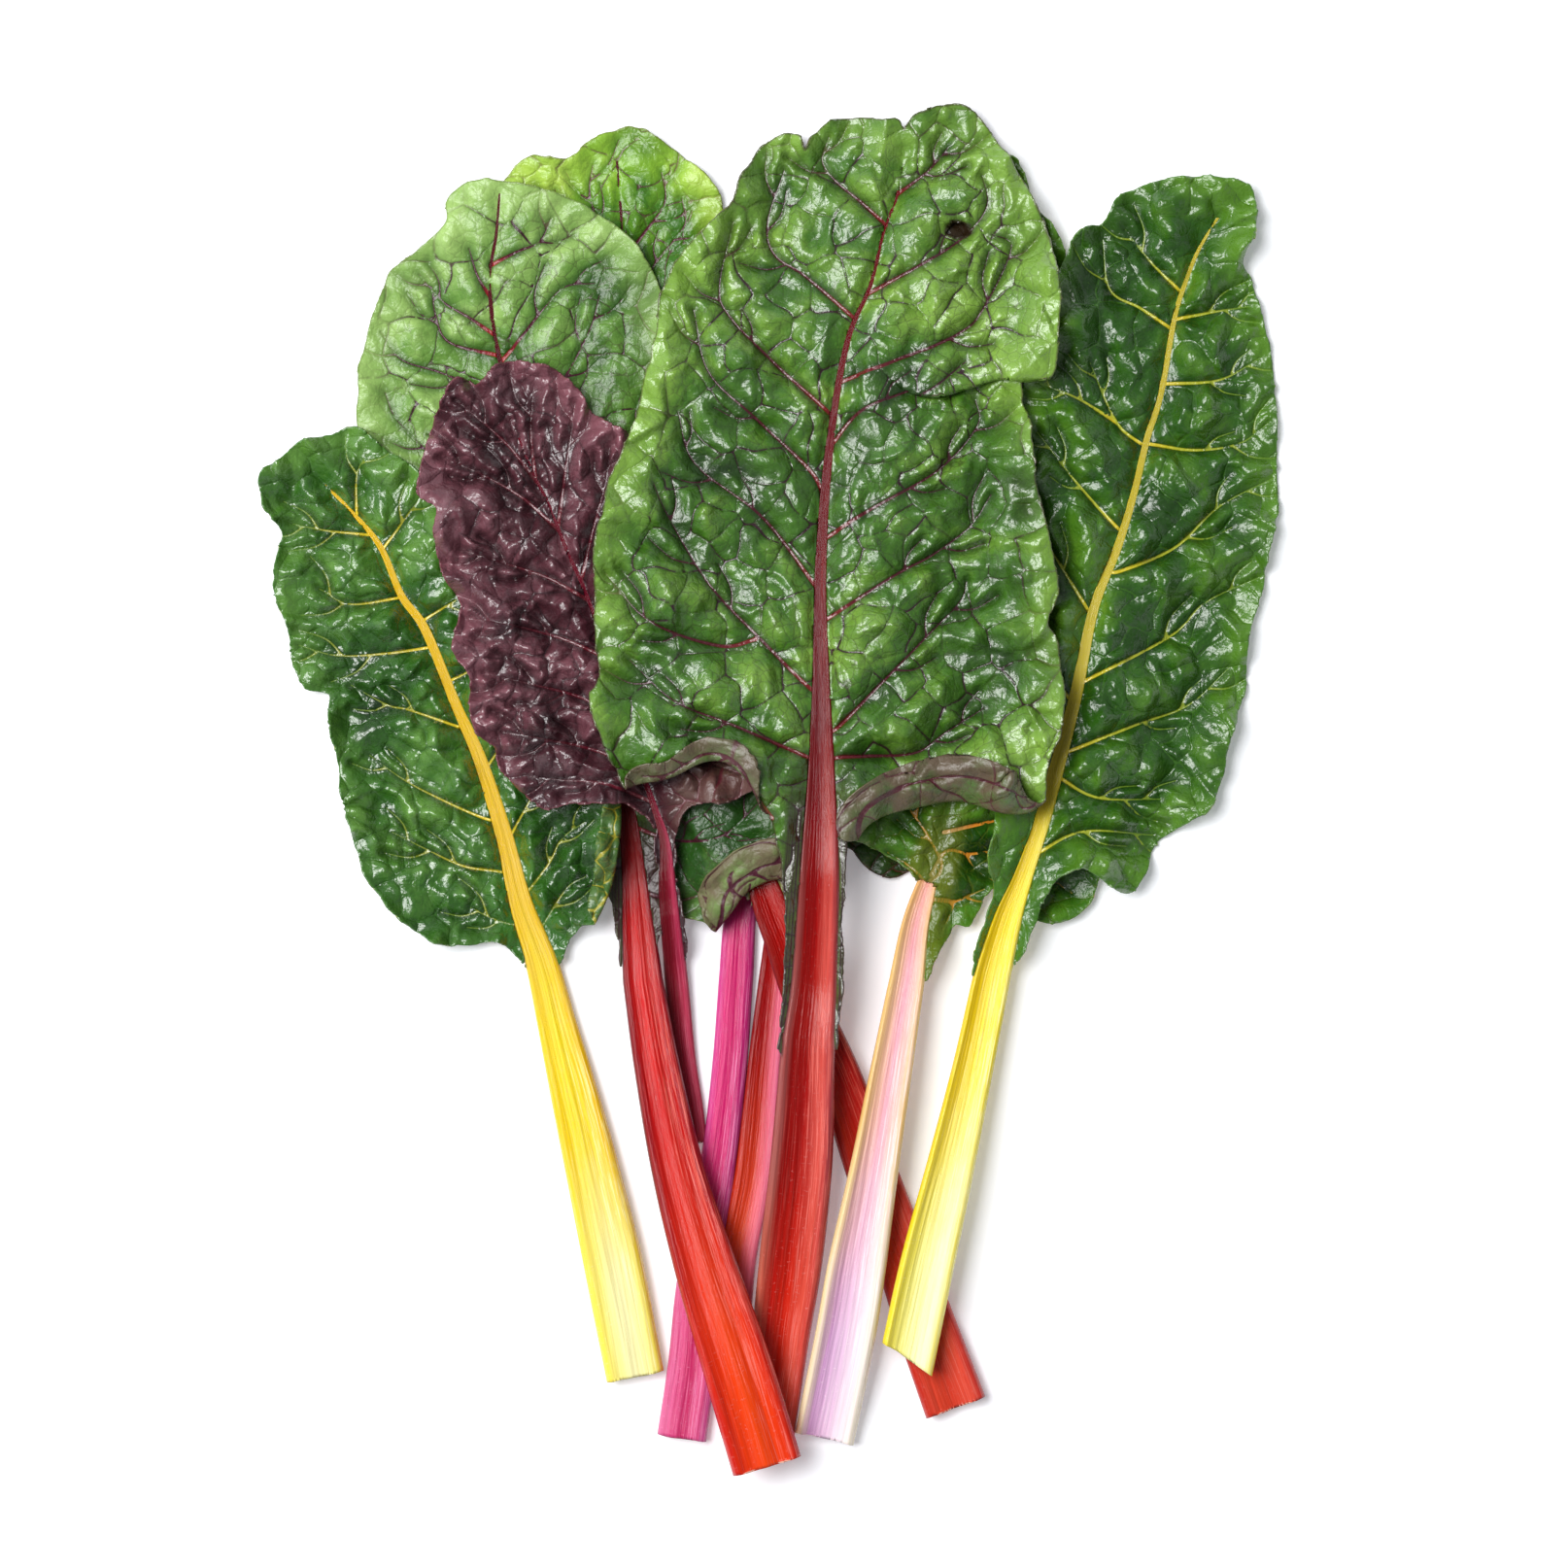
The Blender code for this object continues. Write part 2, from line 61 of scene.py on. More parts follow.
# Leaves from the bottom of the pile to the top, in millimetres, laid out as in the frame.
# stalk: x, y, height of the underside, width. midrib: x, y, width. left, right: the margin.
# veins: one path for each side vein, from the midrib outwards. slim: their width, 1 if left out.
# folds: a line along which the margin beyond it, on its right, is rolled up and over.
# cell: size of the mesh's cells. web: size of the meshes of the small veins.
# bulge, pucker, crumple: how high the blade swells between side veins, small veins and wrinkles.
# deep: centre, radius and strength of a darker part, some of them painted shade. turned: a part that shows
# its underside.
# covered: from this y on, the blade lies over its own midrib. foot: length of its coloured foot.
# slant: how far off square the stalk is cut.
LEAVES = {
    "magenta": {
        "stalk": ((-26, -189, 0, 14.5), (-23, -167, 0, 14), (-21, -142, 0, 12.5), (-15, -106, 0, 10.5),
            (-12, -80, 0, 10.3), (-10, -53, 0, 10.2)),
        "midrib": ((-9, -37, 9.5), (-7, -19, 7), (-5, 5, 5), (-1, 33, 4), (3, 62, 3), (7, 92, 2.4),
            (11, 122, 1.6), (13, 145, 1.0)),
        "left": ((-15, -37), (-19, -16), (-26, 6), (-29, 36), (-25, 72), (-16, 108), (-4, 138), (7, 149)),
        "right": ((-3, -37), (8, -18), (20, 12), (27, 42), (29, 82), (27, 118), (20, 142), (15, 150)),
        "cell": 1.8, "web": 9.0, "bulge": 1.0, "pucker": 0.5, "crumple": 0.6,
    },
    "inner_red": {
        "stalk": ((-11, -150, 0, 11), (-9.5, -135, 0, 11.2), (-5, -111, 0, 10.8), (-1.5, -76, 0, 9.6),
            (1, -53, 0, 8.6)),
        "midrib": ((3, -37, 7.5), (8, -14, 6), (14, 12, 5), (21, 41, 4.2), (27, 70, 3.2), (32, 98, 2.2),
            (36, 123, 1.5), (38, 146, 1.0)),
        "left": ((-2, -37), (-3, -13), (-5, 14), (-1, 52), (5, 92), (15, 126), (27, 148), (34, 154)),
        "right": ((10, -37), (17, -22), (22, -17), (27, -21.5), (32, -24.8), (37.5, -24.3), (44, -20),
            (50, -5), (54, 26), (58, 64), (59, 104), (54, 134), (46, 151), (40, 154)),
        "cell": 1.5, "web": 9.0, "bulge": 1.0, "pucker": 0.6, "crumple": 0.6,
    },
    "crossing_red": {
        "stalk": ((54, -180, 0, 18.5), (46, -158, 0, 17.5), (38, -135, 0, 16), (29, -110, 0.5, 14.8),
            (20, -84, 3.5, 13.4), (10, -61, 7.5, 12.2), (4, -44, 9.5, 11.4)),
        "midrib": ((-1, -31, 10), (-7, -13, 7), (-14, 10, 5.4), (-21, 38, 4.4), (-29, 72, 3.4),
            (-36, 106, 2.4), (-40, 135, 1.8), (-43, 160, 1.2), (-45, 184, 0.8)),
        "left": ((-7, -31), (-15, -19), (-27, -2), (-37, 21), (-45, 47), (-52, 75), (-61, 102), (-72, 132),
            (-78, 157), (-79, 175), (-71, 185), (-60, 184), (-54, 189), (-49, 192)),
        "right": ((6, -33), (9, -20), (10, -5), (6, 18), (1, 47), (-4, 75), (-6, 103), (-7, 132),
            (-10, 157), (-14, 171), (-17, 178), (-26, 186), (-35, 192), (-41, 194)),
        "veins": (((-41, 140), (-35, 152), (-29, 160), (-25, 166), (-26, 173)),
            ((-43, 158), (-37, 163), (-31, 172), (-32, 181)),
            ((-40, 135), (-50, 146), (-59, 154), (-64, 165), (-63, 176)),
            ((-43, 156), (-50, 165), (-53, 175), (-52, 183)),
            ((-36, 106), (-48, 120), (-62, 133), (-69, 148))),
        "cell": 0.95, "web": 11.0, "bulge": 0.8, "pucker": 0.65, "crumple": 0.6,
        "deep": ((-32, 140, 44, 1.2),),
    },
    "pink_white": {
        "stalk": ((15.6, -189, 0, 17.5), (21.4, -160, 6, 17.6), (25, -138, 8, 17), (30, -110, 9, 14.2),
            (35, -81, 9.5, 12.2), (39.6, -55, 8, 10.4)),
        "midrib": ((42, -40, 8.4), (45, -29, 6.6), (48, -20, 4.0), (51, -10, 1.8), (54, 2, 1.5),
            (59, 22, 1.5), (63, 47, 1.5), (67, 75, 1.5), (70, 103, 1.5), (72, 132, 1.5), (72, 160, 1.3),
            (71, 178, 1.0)),
        "left": ((42.4, -29), (41, -23.5), (36, -20), (28, -15.8), (21, -12), (18, 2), (21, 38), (22, 68),
            (25, 100), (32, 134), (43, 165), (56, 183), (65, 188)),
        "right": ((46.4, -53), (49, -46.5), (52, -42), (53.6, -39), (58, -39.5), (60.5, -35), (62.5, -30.5),
            (66, -28.5), (71, -33), (78, -38), (88, -37.5), (95, -28), (98, -10), (101, 10), (101, 35),
            (99, 62), (95, 90), (92, 118), (87, 145), (85, 160), (78, 170), (72, 184)),
        "veins": (((49.3, -27), (49.8, -22.2), (45.6, -13), (41.9, -7.5), (39.2, -4.3), (34, 0)),
            ((50, -24), (51.2, -17.6), (57.7, -18.5), (65, -18.1), (73, -22)),
            ((47.6, -30), (53.1, -32.4), (57.7, -30.6), (62.3, -28.7)),
            ((52.5, -32.2), (52.2, -36), (50, -40.5)), ((46, -26), (41, -22.5), (34, -18)),
            ((51, -10), (60, -10), (72, -8), (84, -12)), ((74, -22), (82, -26), (88, -30))),
        "cell": 0.95, "web": 9.5, "bulge": 1.1, "pucker": 0.8, "crumple": 1.0,
        # Both dark spots are painted shadow: one seen through the centre leaf's hole, one under its rolled
        # margin.
        "deep": ((55, 163, 9, 3.0), (54, -20, 15, 1.5)), "covered": -26.5,
    },
    "yellow_right": {
        "stalk": ((39.6, -165, 8, 16.2), (45.3, -138, 8, 15.8), (52, -110, 8, 14), (58.7, -81, 6, 12),
            (64.6, -53, 5, 11)),
        "midrib": ((69, -37, 8.8), (73.4, -25, 6), (78.6, -10, 5.2), (83.3, 7, 5.0), (88.8, 28, 4.2),
            (94, 53, 3.4), (101, 71, 2.9), (106, 87, 2.5), (110, 103, 2.3), (114, 116, 2.2),
            (118, 138, 1.9), (121, 148, 1.6), (125, 158, 1.3), (131, 168, 0.9)),
        "left": ((59, -48), (65, -31), (63, -20), (67, 4), (70, 22), (72, 50), (70, 72), (70, 95),
            (74, 120), (80, 138), (84, 152), (90, 163), (97, 166), (101, 173), (107, 176), (117, 179),
            (124, 179)),
        "right": ((73, -48), (77, -37), (81, -28), (90, -23), (103, -30), (109, -25), (113, -15), (122, -9),
            (130, -2), (134, 16), (139, 32), (140, 47), (143, 60), (148, 82), (148, 99), (147, 121),
            (143, 140), (141, 149), (138, 155), (141, 163), (141, 174), (136, 178)),
        "veins": (((120, 139.5), (130, 140), (140, 141.5)), ((117.5, 120), (131, 120), (143, 126.5)),
            ((112, 102.5), (124, 99.5), (137, 101.5), (145.5, 107.5)),
            ((102, 64), (118, 71), (131, 83), (147, 91.5)), ((93, 32), (116.5, 45), (127, 55), (143, 62.5)),
            ((87, 12), (106, 19), (122, 25), (134, 36)), ((86, 6), (95, -2), (114, -2.5)),
            ((79, -18.5), (90.5, -12), (112, -13)), ((120, 148), (111, 154.5), (103.5, 164)),
            ((118, 136.5), (108, 141), (99, 146.5), (97, 161)), ((108.5, 102.5), (101, 107.5), (93, 125)),
            ((101, 107.5), (90, 114), (77.5, 119)), ((99, 78.5), (87.5, 91.5), (77.5, 104.5)),
            ((93, 53), (82.5, 68.5), (75, 80)), ((87, 27), (79, 38), (73, 48)),
            ((82, 6), (76, 16), (70, 24))),
        "cell": 0.8, "web": 10.5, "bulge": 1.3, "pucker": 1.0, "crumple": 1.8, "slim": 0.85, "slant": 3.4,
    },
    "red_left": {
        "stalk": ((-1, -196, 9.5, 20.5), (-10, -166, 10.5, 20), (-19, -138, 9, 18), (-27, -110, 7, 15.4),
            (-33, -81, 6, 13.4), (-37.3, -55, 5, 11.8)),
        "midrib": ((-39, -37, 9.4), (-40, -25, 7.5), (-42, -8, 6.2), (-47, 15, 5.2), (-55, 47, 3.6),
            (-63, 78, 2.8), (-72, 103, 2.2), (-79, 125, 1.7), (-82, 147, 1.4), (-80, 162, 1.1),
            (-79, 174, 0.8)),
        "left": ((-42.8, -58), (-44.6, -41), (-49.5, -25), (-56, -9), (-68, 13), (-85, 42), (-102, 70),
            (-115, 92), (-121, 107), (-120, 122), (-117, 136), (-112, 150), (-103, 158), (-95, 165),
            (-95, 172), (-90, 177), (-83, 178)),
        "right": ((-32.4, -60), (-32.8, -48), (-31.5, -38), (-29, -35.5), (-26, -37), (-21, -38),
            (-17.5, -39.5), (-12, -43.5), (-4, -44), (2, -39), (8, -36), (13, -30), (12, -20), (7, -10),
            (-1, 7), (-10, 32), (-18, 58), (-24, 88), (-27, 118), (-31, 143), (-36, 154), (-46, 165),
            (-57, 172), (-66, 175), (-74, 177)),
        "veins": (((-79, 127), (-73, 132), (-66, 141), (-60, 147), (-51.5, 148)),
            ((-72, 104), (-62, 117), (-53, 134), (-50, 144.5)),
            ((-80, 155), (-74, 157), (-67.5, 160), (-64, 167)), ((-81, 146), (-85.5, 150), (-88, 158)),
            ((-81, 135), (-88, 138), (-96, 143), (-103, 151)),
            ((-80, 129), (-94, 131), (-98, 139), (-99, 147)),
            ((-73, 107), (-84, 116), (-96, 122), (-108, 126), (-114, 134)),
            ((-65, 84), (-80, 90), (-96, 96), (-109, 108), (-113, 117)),
            ((-56, 50), (-70, 62), (-88, 70), (-99, 78)), ((-63, 79), (-50, 92), (-38, 106), (-32, 122)),
            ((-54, 44), (-40, 58), (-28, 74)), ((-47, 15), (-32, 26), (-20, 40)),
            ((-42, -8), (-28, -14.5), (-14, -13), (-3, -3)),
            ((-40, -27), (-26.5, -32), (-14, -28), (-4, -30)), ((-41, -20), (-47, -22), (-50, -18)),
            ((-17, -41.5), (-8, -37), (-2, -32), (7, -30.5))),
        "folds": (
            ((-20, -44), (-16.7, -39.3), (-12.5, -34.3), (-8.8, -28.7), (-1.5, -24.6), (5, -23.6),
            (12, -22), (20, -19)),),
        "cell": 0.88, "web": 14.5, "bulge": 0.7, "pucker": 0.55, "crumple": 0.85,
        # The first dark spot is painted shade where other leaves lie over this blade.
        "deep": ((-6, -28, 48, 1.5), (-44, 114, 52, 0.8)), "foot": 48,
    },
    "yellow_left": {
        "stalk": ((-39.5, -171, 0, 17), (-46, -138, 0, 17.3), (-52, -111, 0, 15.8), (-57.5, -88, 0, 13.9),
            (-62.5, -68, 0, 11.4)),
        "midrib": ((-67, -50, 9.6), (-73, -33, 7.4), (-78, -13, 5.6), (-85, 9, 4.6), (-92, 25, 3.6),
            (-101, 47, 3.2), (-108, 57, 2.6), (-114, 71, 2.2), (-122, 81, 1.5), (-131, 90, 0.9)),
        "left": ((-73, -50), (-80, -44), (-88, -45), (-98, -44), (-108, -37), (-116, -28), (-121, -17),
            (-125, -3), (-126, 9), (-129, 22), (-129, 28), (-136, 30), (-140, 38), (-141, 47), (-145, 60),
            (-143, 75), (-148, 84), (-149, 92), (-143, 97), (-138, 101)),
        "right": ((-60.5, -50), (-56, -40), (-46, -38), (-40, -28), (-37, -14), (-39, -2), (-55, 7),
            (-66, 21), (-75, 43), (-83, 66), (-95, 86), (-105, 95), (-113, 99), (-121, 106), (-130, 104)),
        "veins": (((-76, -39), (-82, -37), (-88, -34)),
            ((-80, -23.5), (-90, -22), (-101, -17), (-111, -12)),
            ((-84, -8), (-95.5, -3), (-107, 3), (-117.5, 10.5)),
            ((-92.5, 18), (-105.5, 23.5), (-112, 25), (-123, 31)),
            ((-102, 42.5), (-113, 40), (-127, 39.5), (-138, 42.5)), ((-110, 58), (-123, 54.5), (-132, 59)),
            ((-83, 8), (-79, 13), (-76, 21)), ((-77, -13), (-70.5, -3), (-66, 5)),
            ((-72, -30), (-65, -21.5), (-61, -14), (-54, -9)), ((-68, -41), (-60, -29), (-54, -25)),
            ((-114, 73), (-104, 83), (-101, 88)), ((-102, 51.5), (-98, 52), (-91, 56), (-86, 60)),
            ((-96, 33), (-88, 35), (-81, 40)), ((-122, 82), (-121, 92), (-118, 98)),
            ((-118, 76), (-130, 76), (-140, 78))),
        "folds": (((-57, -46), (-53, -39), (-49, -31), (-46.8, -23), (-45.5, -15), (-45, -7), (-46, 2)),),
        "cell": 0.74, "web": 8.5, "bulge": 1.8, "pucker": 1.3, "crumple": 2.1, "slim": 0.7,
    },
    "purple": {
        "stalk": ((-22, -103, 0, 7), (-23.3, -92, 0, 7), (-25.5, -78, 0, 7.2), (-27.6, -55, 1.5, 7)),
        "midrib": ((-29.9, -29, 5.4), (-30.8, -15, 3.6), (-33.8, -5, 2.2), (-39, 10, 1.9), (-46, 35, 1.7),
            (-54, 58, 1.6), (-59, 69, 1.4), (-65, 84, 1.2), (-69, 92, 1.0), (-76, 109, 0.8)),
        "left": ((-31.4, -46), (-32.4, -31), (-33.6, -17.6), (-34, -10.5), (-38.5, -5.7), (-45, -3.3),
            (-58, -3.7), (-66, -6), (-73, 0), (-78, 6), (-80, 13), (-84, 16), (-88, 25), (-87, 33),
            (-92, 41), (-90, 53), (-94, 61), (-98, 75), (-97, 82), (-102, 86), (-102, 92), (-98, 108),
            (-95, 116), (-91, 120), (-86, 118)),
        "right": ((-24.4, -46), (-26.4, -30.6), (-27.4, -21), (-28, -13.9), (-26, -7.5), (-20.9, -3.8),
            (-13.5, -2.8), (-4.2, 1.3), (-2, 7), (-10, 15), (-18, 24), (-27, 44), (-32, 64), (-35, 84),
            (-39, 100), (-43, 105), (-51, 109), (-55, 115), (-61, 121), (-70, 125), (-79, 124)),
        "veins": (((-53, 57), (-65, 62), (-77, 66), (-90, 70)),
            ((-48, 40), (-60, 44), (-75, 48), (-88, 50)), ((-43, 22), (-55, 27), (-70, 31), (-83, 34)),
            ((-39, 8), (-52, 12), (-66, 15), (-78, 17)), ((-36, -2), (-48, 2), (-60, 3), (-70, 4)),
            ((-61, 78), (-72, 85), (-84, 92), (-96, 97)), ((-68, 92), (-77, 101), (-86, 109), (-92, 114)),
            ((-56, 63), (-52, 75), (-48, 90), (-47, 100)), ((-63, 78), (-60, 92), (-58, 105), (-57, 113)),
            ((-70, 93), (-70, 105), (-69, 118)), ((-48, 42), (-40, 55), (-36, 68), (-38, 82)),
            ((-42, 20), (-32, 33), (-27, 45)), ((-37, 4), (-24, 10), (-14, 12))),
        "cell": 0.62, "web": 8.5, "bulge": 2.0, "pucker": 2.1, "crumple": 2.6,
        "turned": ((-13, -5, 20, 1.0),), "foot": 36,
    },
    "centre_red": {
        "stalk": ((-1, -187, 0, 16), (2, -166, 0, 16.5), (3, -158, 1, 17), (6, -135, 5, 18.5),
            (9, -106, 10, 18), (11, -71, 14, 15.3)),
        "midrib": ((12.5, -55, 13.6), (14, -24, 12), (14.6, 4, 8.6), (14.6, 32, 5.6), (14.4, 61, 4.0),
            (16, 89, 3.2), (19, 114, 2.5), (23, 133, 2.0), (29, 147, 1.6), (33, 163, 1.3), (37, 174, 1.1),
            (39, 186, 0.8)),
        "left": ((2.3, -76), (3.5, -62), (4.1, -48), (4.2, -36), (3.4, -22), (0.6, -10), (-4, -5), (-9, -1),
            (-17, 1.5), (-25, -1), (-32, -3), (-38, -3), (-43, 2), (-47, 12), (-53, 27), (-50, 33),
            (-51, 55), (-50, 75), (-47, 88), (-40, 107), (-36, 122), (-31, 145), (-28, 154), (-19, 164),
            (-12, 171), (-9, 179), (-3, 187), (3, 191), (8.4, 190.6), (10, 187), (12.6, 191.6), (19, 196),
            (26, 197), (33, 196), (37, 195.6), (38.8, 192.6)),
        "right": ((19.1, -76), (20, -62), (20.6, -48), (21, -36), (21.8, -20), (23.4, -13.5), (28, -17),
            (35, -17), (42, -18), (52, -17.5), (60, -18.5), (68, -19.5), (75, -17), (78.5, -10), (79.5, -1),
            (80.5, 8), (83, 16), (85, 28), (83, 44), (80, 49), (83, 58), (81, 71), (77, 89), (75, 108),
            (73, 120), (80, 124), (83, 133), (84, 145), (81, 160), (78, 168), (73, 179), (66, 189),
            (59, 198), (54, 200), (48, 199), (43, 197.4), (41, 196.4)),
        "veins": (((10, 10), (-11, 19), (-28, 26), (-41, 38)),
            ((11, 30), (-3, 44), (-18, 60), (-30, 80), (-34, 89)),
            ((-4, 44), (-15, 42), (-35, 49), (-48, 63)), ((12, 60), (-2, 79), (-22, 95), (-27, 110)),
            ((13.5, 87), (11.5, 93), (-3, 107), (-18, 121.5), (-22.5, 140)),
            ((17, 110.5), (0.5, 125), (-12, 138), (-15, 147), (-11, 166)),
            ((24.5, 139), (10, 150), (1, 156.5), (-1, 166), (4, 181.5)),
            ((33, 167), (26, 172), (19, 178), (15, 184), (17, 191)),
            ((19, 9.5), (28, 10), (42, 11), (51, 17), (62, 24)),
            ((19, 18), (30, 29), (45.5, 45), (55, 55), (57, 61)),
            ((17, 51), (36, 62.5), (47, 68.5), (58, 77), (64, 86)),
            ((16, 74.5), (28, 81), (48.5, 93), (60, 106), (59.5, 114)),
            ((19, 101), (26, 110), (43, 117.5), (56, 126)),
            ((20.5, 121), (36, 125), (54, 133), (61.5, 140), (70, 158), (64, 162)),
            ((28, 146), (49, 156), (59, 164), (63, 171), (61.5, 179)), ((37, 176), (46, 181), (52, 188)),
            ((24, -14), (32, -13), (42, -12.5), (52, -11), (61, -13), (69, -14), (77, -11)),
            ((0.5, -8), (-8, 2.5), (-17, 6), (-26, 2.5), (-36, -0.5))),
        "folds": (
            ((-46, 0), (-38.8, 3.7), (-30.1, 4.6), (-24.6, 7.6), (-18, 10.6), (-11.6, 9.6), (-6.1, 5),
            (-3.3, 0), (-0.5, -7), (1, -14)),
            ((22, -18), (23.6, -12.5), (27, -8.3), (32.7, -5.2), (40.1, -3.8), (48.4, -1.9), (56.7, -1),
            (62.3, -3.8), (71.5, -5.6), (77.5, -4), (81, 3), (84, 12))),
        "cell": 0.72, "web": 11.5, "bulge": 1.3, "pucker": 1.1, "crumple": 1.5,
        "deep": ((20, 62, 88, 0.4),), "foot": 78,
    },
}

# The pleat across the centre leaf: its line, how high the upper part stands and how far it laps over,
# and how deep the lower part is pressed in.
PLEAT_LINE = ((88, 126), (84, 124), (74, 122.4), (65, 123), (56.4, 120.4), (45.6, 117.6), (38, 119),
              (32, 121.8), (27, 120))
PLEAT_HEIGHT = 4.4
PLEAT_LAP = 4.2
PLEAT_PRESS = 1.6
PLEAT_LIP = -0.05            # the upper part begins here, just across the line
PLEAT_POINTS = 160
# A hole that an insect ate in the centre leaf: centre and half sizes.
HOLE = (54.6, 163.3, 3.1, 2.1)
HOLE_RAGGED = 0.2
HOLED = "centre_red"
BELOW_HOLE = "pink_white"    # seen through the hole, and given painted shadow there


# ---- curves and noise ----

def curve_through(points, samples=24):
    """A smooth curve through the points, as an array with many rows."""
    points = np.array(points, dtype=float)
    padded = np.vstack([2 * points[0] - points[1], points, 2 * points[-1] - points[-2]])
    steps = np.linspace(0, 1, samples, endpoint=False)[:, None]
    pieces = []
    for before, start, end, after in zip(padded, padded[1:], padded[2:], padded[3:]):
        pieces.append(0.5 * (2 * start + (end - before) * steps
                             + (2 * before - 5 * start + 4 * end - after) * steps ** 2
                             + (3 * start - before - 3 * end + after) * steps ** 3))
    pieces.append(points[-1:])
    return np.vstack(pieces)


def lengths_along(curve):
    steps = np.hypot(*np.diff(curve[:, :2], axis=0).T)
    return np.concatenate([[0.0], np.cumsum(steps)])


def evenly(curve, count):
    """The curve as so many evenly spaced points."""
    along = lengths_along(curve)
    wanted = np.linspace(0, along[-1], count)
    return np.column_stack([np.interp(wanted, along, column) for column in curve.T])


def spaced(curve, step, least=0):
    """The curve as points about a step apart."""
    return evenly(curve, max(int(lengths_along(curve)[-1] / step), least))


def gaps_to(line, place):
    return np.hypot(*(line[:, :2] - place).T)


def over_window(rows, reach, how, **edges):
    """The mean or the maximum of the rows within reach of each row."""
    sides = [(reach, reach)] + [(0, 0)] * (rows.ndim - 1)
    padded = np.pad(rows, sides, **(edges or {"mode": "edge"}))
    return how([padded[k:k + len(rows)] for k in range(2 * reach + 1)], axis=0)


def fall(value, distance, power=1.0):
    """From 1 at zero towards 0 over a distance."""
    return np.exp(-(value / distance) ** power)


def side_directions(line):
    """Unit vectors that point to the right of a line, seen from above."""
    forward = np.gradient(line[:, :2], axis=0)
    forward /= np.maximum(np.hypot(*forward.T), 1e-9)[:, None]
    return np.column_stack([forward[:, 1], -forward[:, 0]])


def hashed(i, j, seed):
    value = np.sin(i * 127.1 + j * 311.7 + seed * 74.7) * 43758.5453
    return value - np.floor(value)


def noise(x, y, size, seed):
    """Smooth noise between about -1 and 1, with features of the given size."""
    x, y = x / size, y / size
    i, j = np.floor(x), np.floor(y)
    fx, fy = x - i, y - j
    total = 0.0
    for di in (0, 1):
        for dj in (0, 1):
            turn = hashed(i + di, j + dj, seed) * 2 * np.pi
            pull = np.cos(turn) * (fx - di) + np.sin(turn) * (fy - dj)
            near_x = fx if di else 1 - fx
            near_y = fy if dj else 1 - fy
            weight = near_x ** 3 * (near_x * (near_x * 6 - 15) + 10)
            weight = weight * near_y ** 3 * (near_y * (near_y * 6 - 15) + 10)
            total = total + weight * pull
    return total * 1.5


def rise(value, low, high):
    """Smooth step from 0 at low to 1 at high."""
    share = np.clip((value - low) / (high - low), 0, 1)
    return share * share * (3 - 2 * share)


# ---- the pile ----

class Pile:
    """Height of the top of the pile over a square map."""

    def __init__(self):
        self.count = int(2 * MAP_HALF_SIZE / MAP_CELL)
        self.top = np.zeros((self.count, self.count))

    def widened(self, cells):
        result = self.top
        for axis in (0, 1):
            source = result
            for shift in range(-cells, cells + 1):
                result = np.maximum(result, np.roll(source, shift, axis=axis))
        return result

    def draped(self):
        """What a limp leaf rests on: the pile's top, bridged and smoothed."""
        bridge = self.widened(DRAPE_REACH)
        shifts = range(-DRAPE_REACH, DRAPE_REACH + 1)
        for _ in range(3):
            for axis in (0, 1):
                bridge = sum(np.roll(bridge, shift, axis=axis) for shift in shifts) / len(shifts)
        return np.maximum(bridge, self.widened(1))

    def sample(self, heights, xy):
        place = np.clip((xy + MAP_HALF_SIZE) / MAP_CELL - 0.5, 0, self.count - 1.001)
        low = place.astype(int)
        part = place - low
        i, j = low[..., 0], low[..., 1]
        u, v = part[..., 0], part[..., 1]
        return ((1 - u) * (1 - v) * heights[i, j] + u * (1 - v) * heights[i + 1, j]
                + (1 - u) * v * heights[i, j + 1] + u * v * heights[i + 1, j + 1])

    def add(self, points):
        places = ((points[:, :2] + MAP_HALF_SIZE) / MAP_CELL).astype(int)
        places = np.clip(places, 0, self.count - 1)
        np.maximum.at(self.top, (places[:, 0], places[:, 1]), points[:, 2])


# ---- meshes ----

def add_object(name, data):
    made = bpy.data.objects.new(name, data)
    bpy.context.collection.objects.link(made)
    return made


def make_mesh(name, points, faces, attributes, uvs, material):
    """A mesh piece from arrays: points in millimetres, and faces that all have as many corners."""
    mesh = bpy.data.meshes.new(name)
    mesh.vertices.add(len(points))
    mesh.vertices.foreach_set("co", ((points + SHIFT) * MM).astype(np.float32).ravel())
    sizes = np.full(len(faces), faces.shape[1])
    mesh.loops.add(int(sizes.sum()))
    mesh.loops.foreach_set("vertex_index", faces.astype(np.int32).ravel())
    mesh.polygons.add(len(faces))
    mesh.polygons.foreach_set("loop_start", (np.cumsum(sizes) - sizes).astype(np.int32))
    mesh.update(calc_edges=True)
    mesh.validate()
    mesh.polygons.foreach_set("use_smooth", np.ones(len(mesh.polygons), dtype=bool))
    for key, values in attributes.items():
        layer = mesh.attributes.new(key, "FLOAT", "POINT")
        layer.data.foreach_set("value", values.astype(np.float32).ravel())
    corners = np.zeros(len(mesh.loops), dtype=np.int32)
    mesh.loops.foreach_get("vertex_index", corners)
    layer = mesh.uv_layers.new(name="OFBake")
    layer.data.foreach_set("uv", uvs[corners].astype(np.float32).ravel())
    mesh.materials.append(material)
    return add_object(name, mesh)


# ---- stalks ----

STALK_STEP = 1.0           # from ring to ring
TOP_POINTS = 61            # of a ring, across the channelled top
UNDER_POINTS = 25
CHANNEL_FADE = (1.5, 8.0)  # widths between which a midrib's channel fades
RIB_HEIGHT = 0.011         # of the fine ribs, as a share of the width
UNDER_RIBS = 11
ROUNDING = 2.4             # how square the underside's round is
CUT_STEPS = (0.05, 0.35, 0.68, 0.92)    # the first ring's size on the way to the middle of the cut
CUT_HOLLOW = 0.35
CUT_SLANT_LENGTH = 24
TIP_STEPS = (0.5, 0.06)
UV_EDGE = 0.02
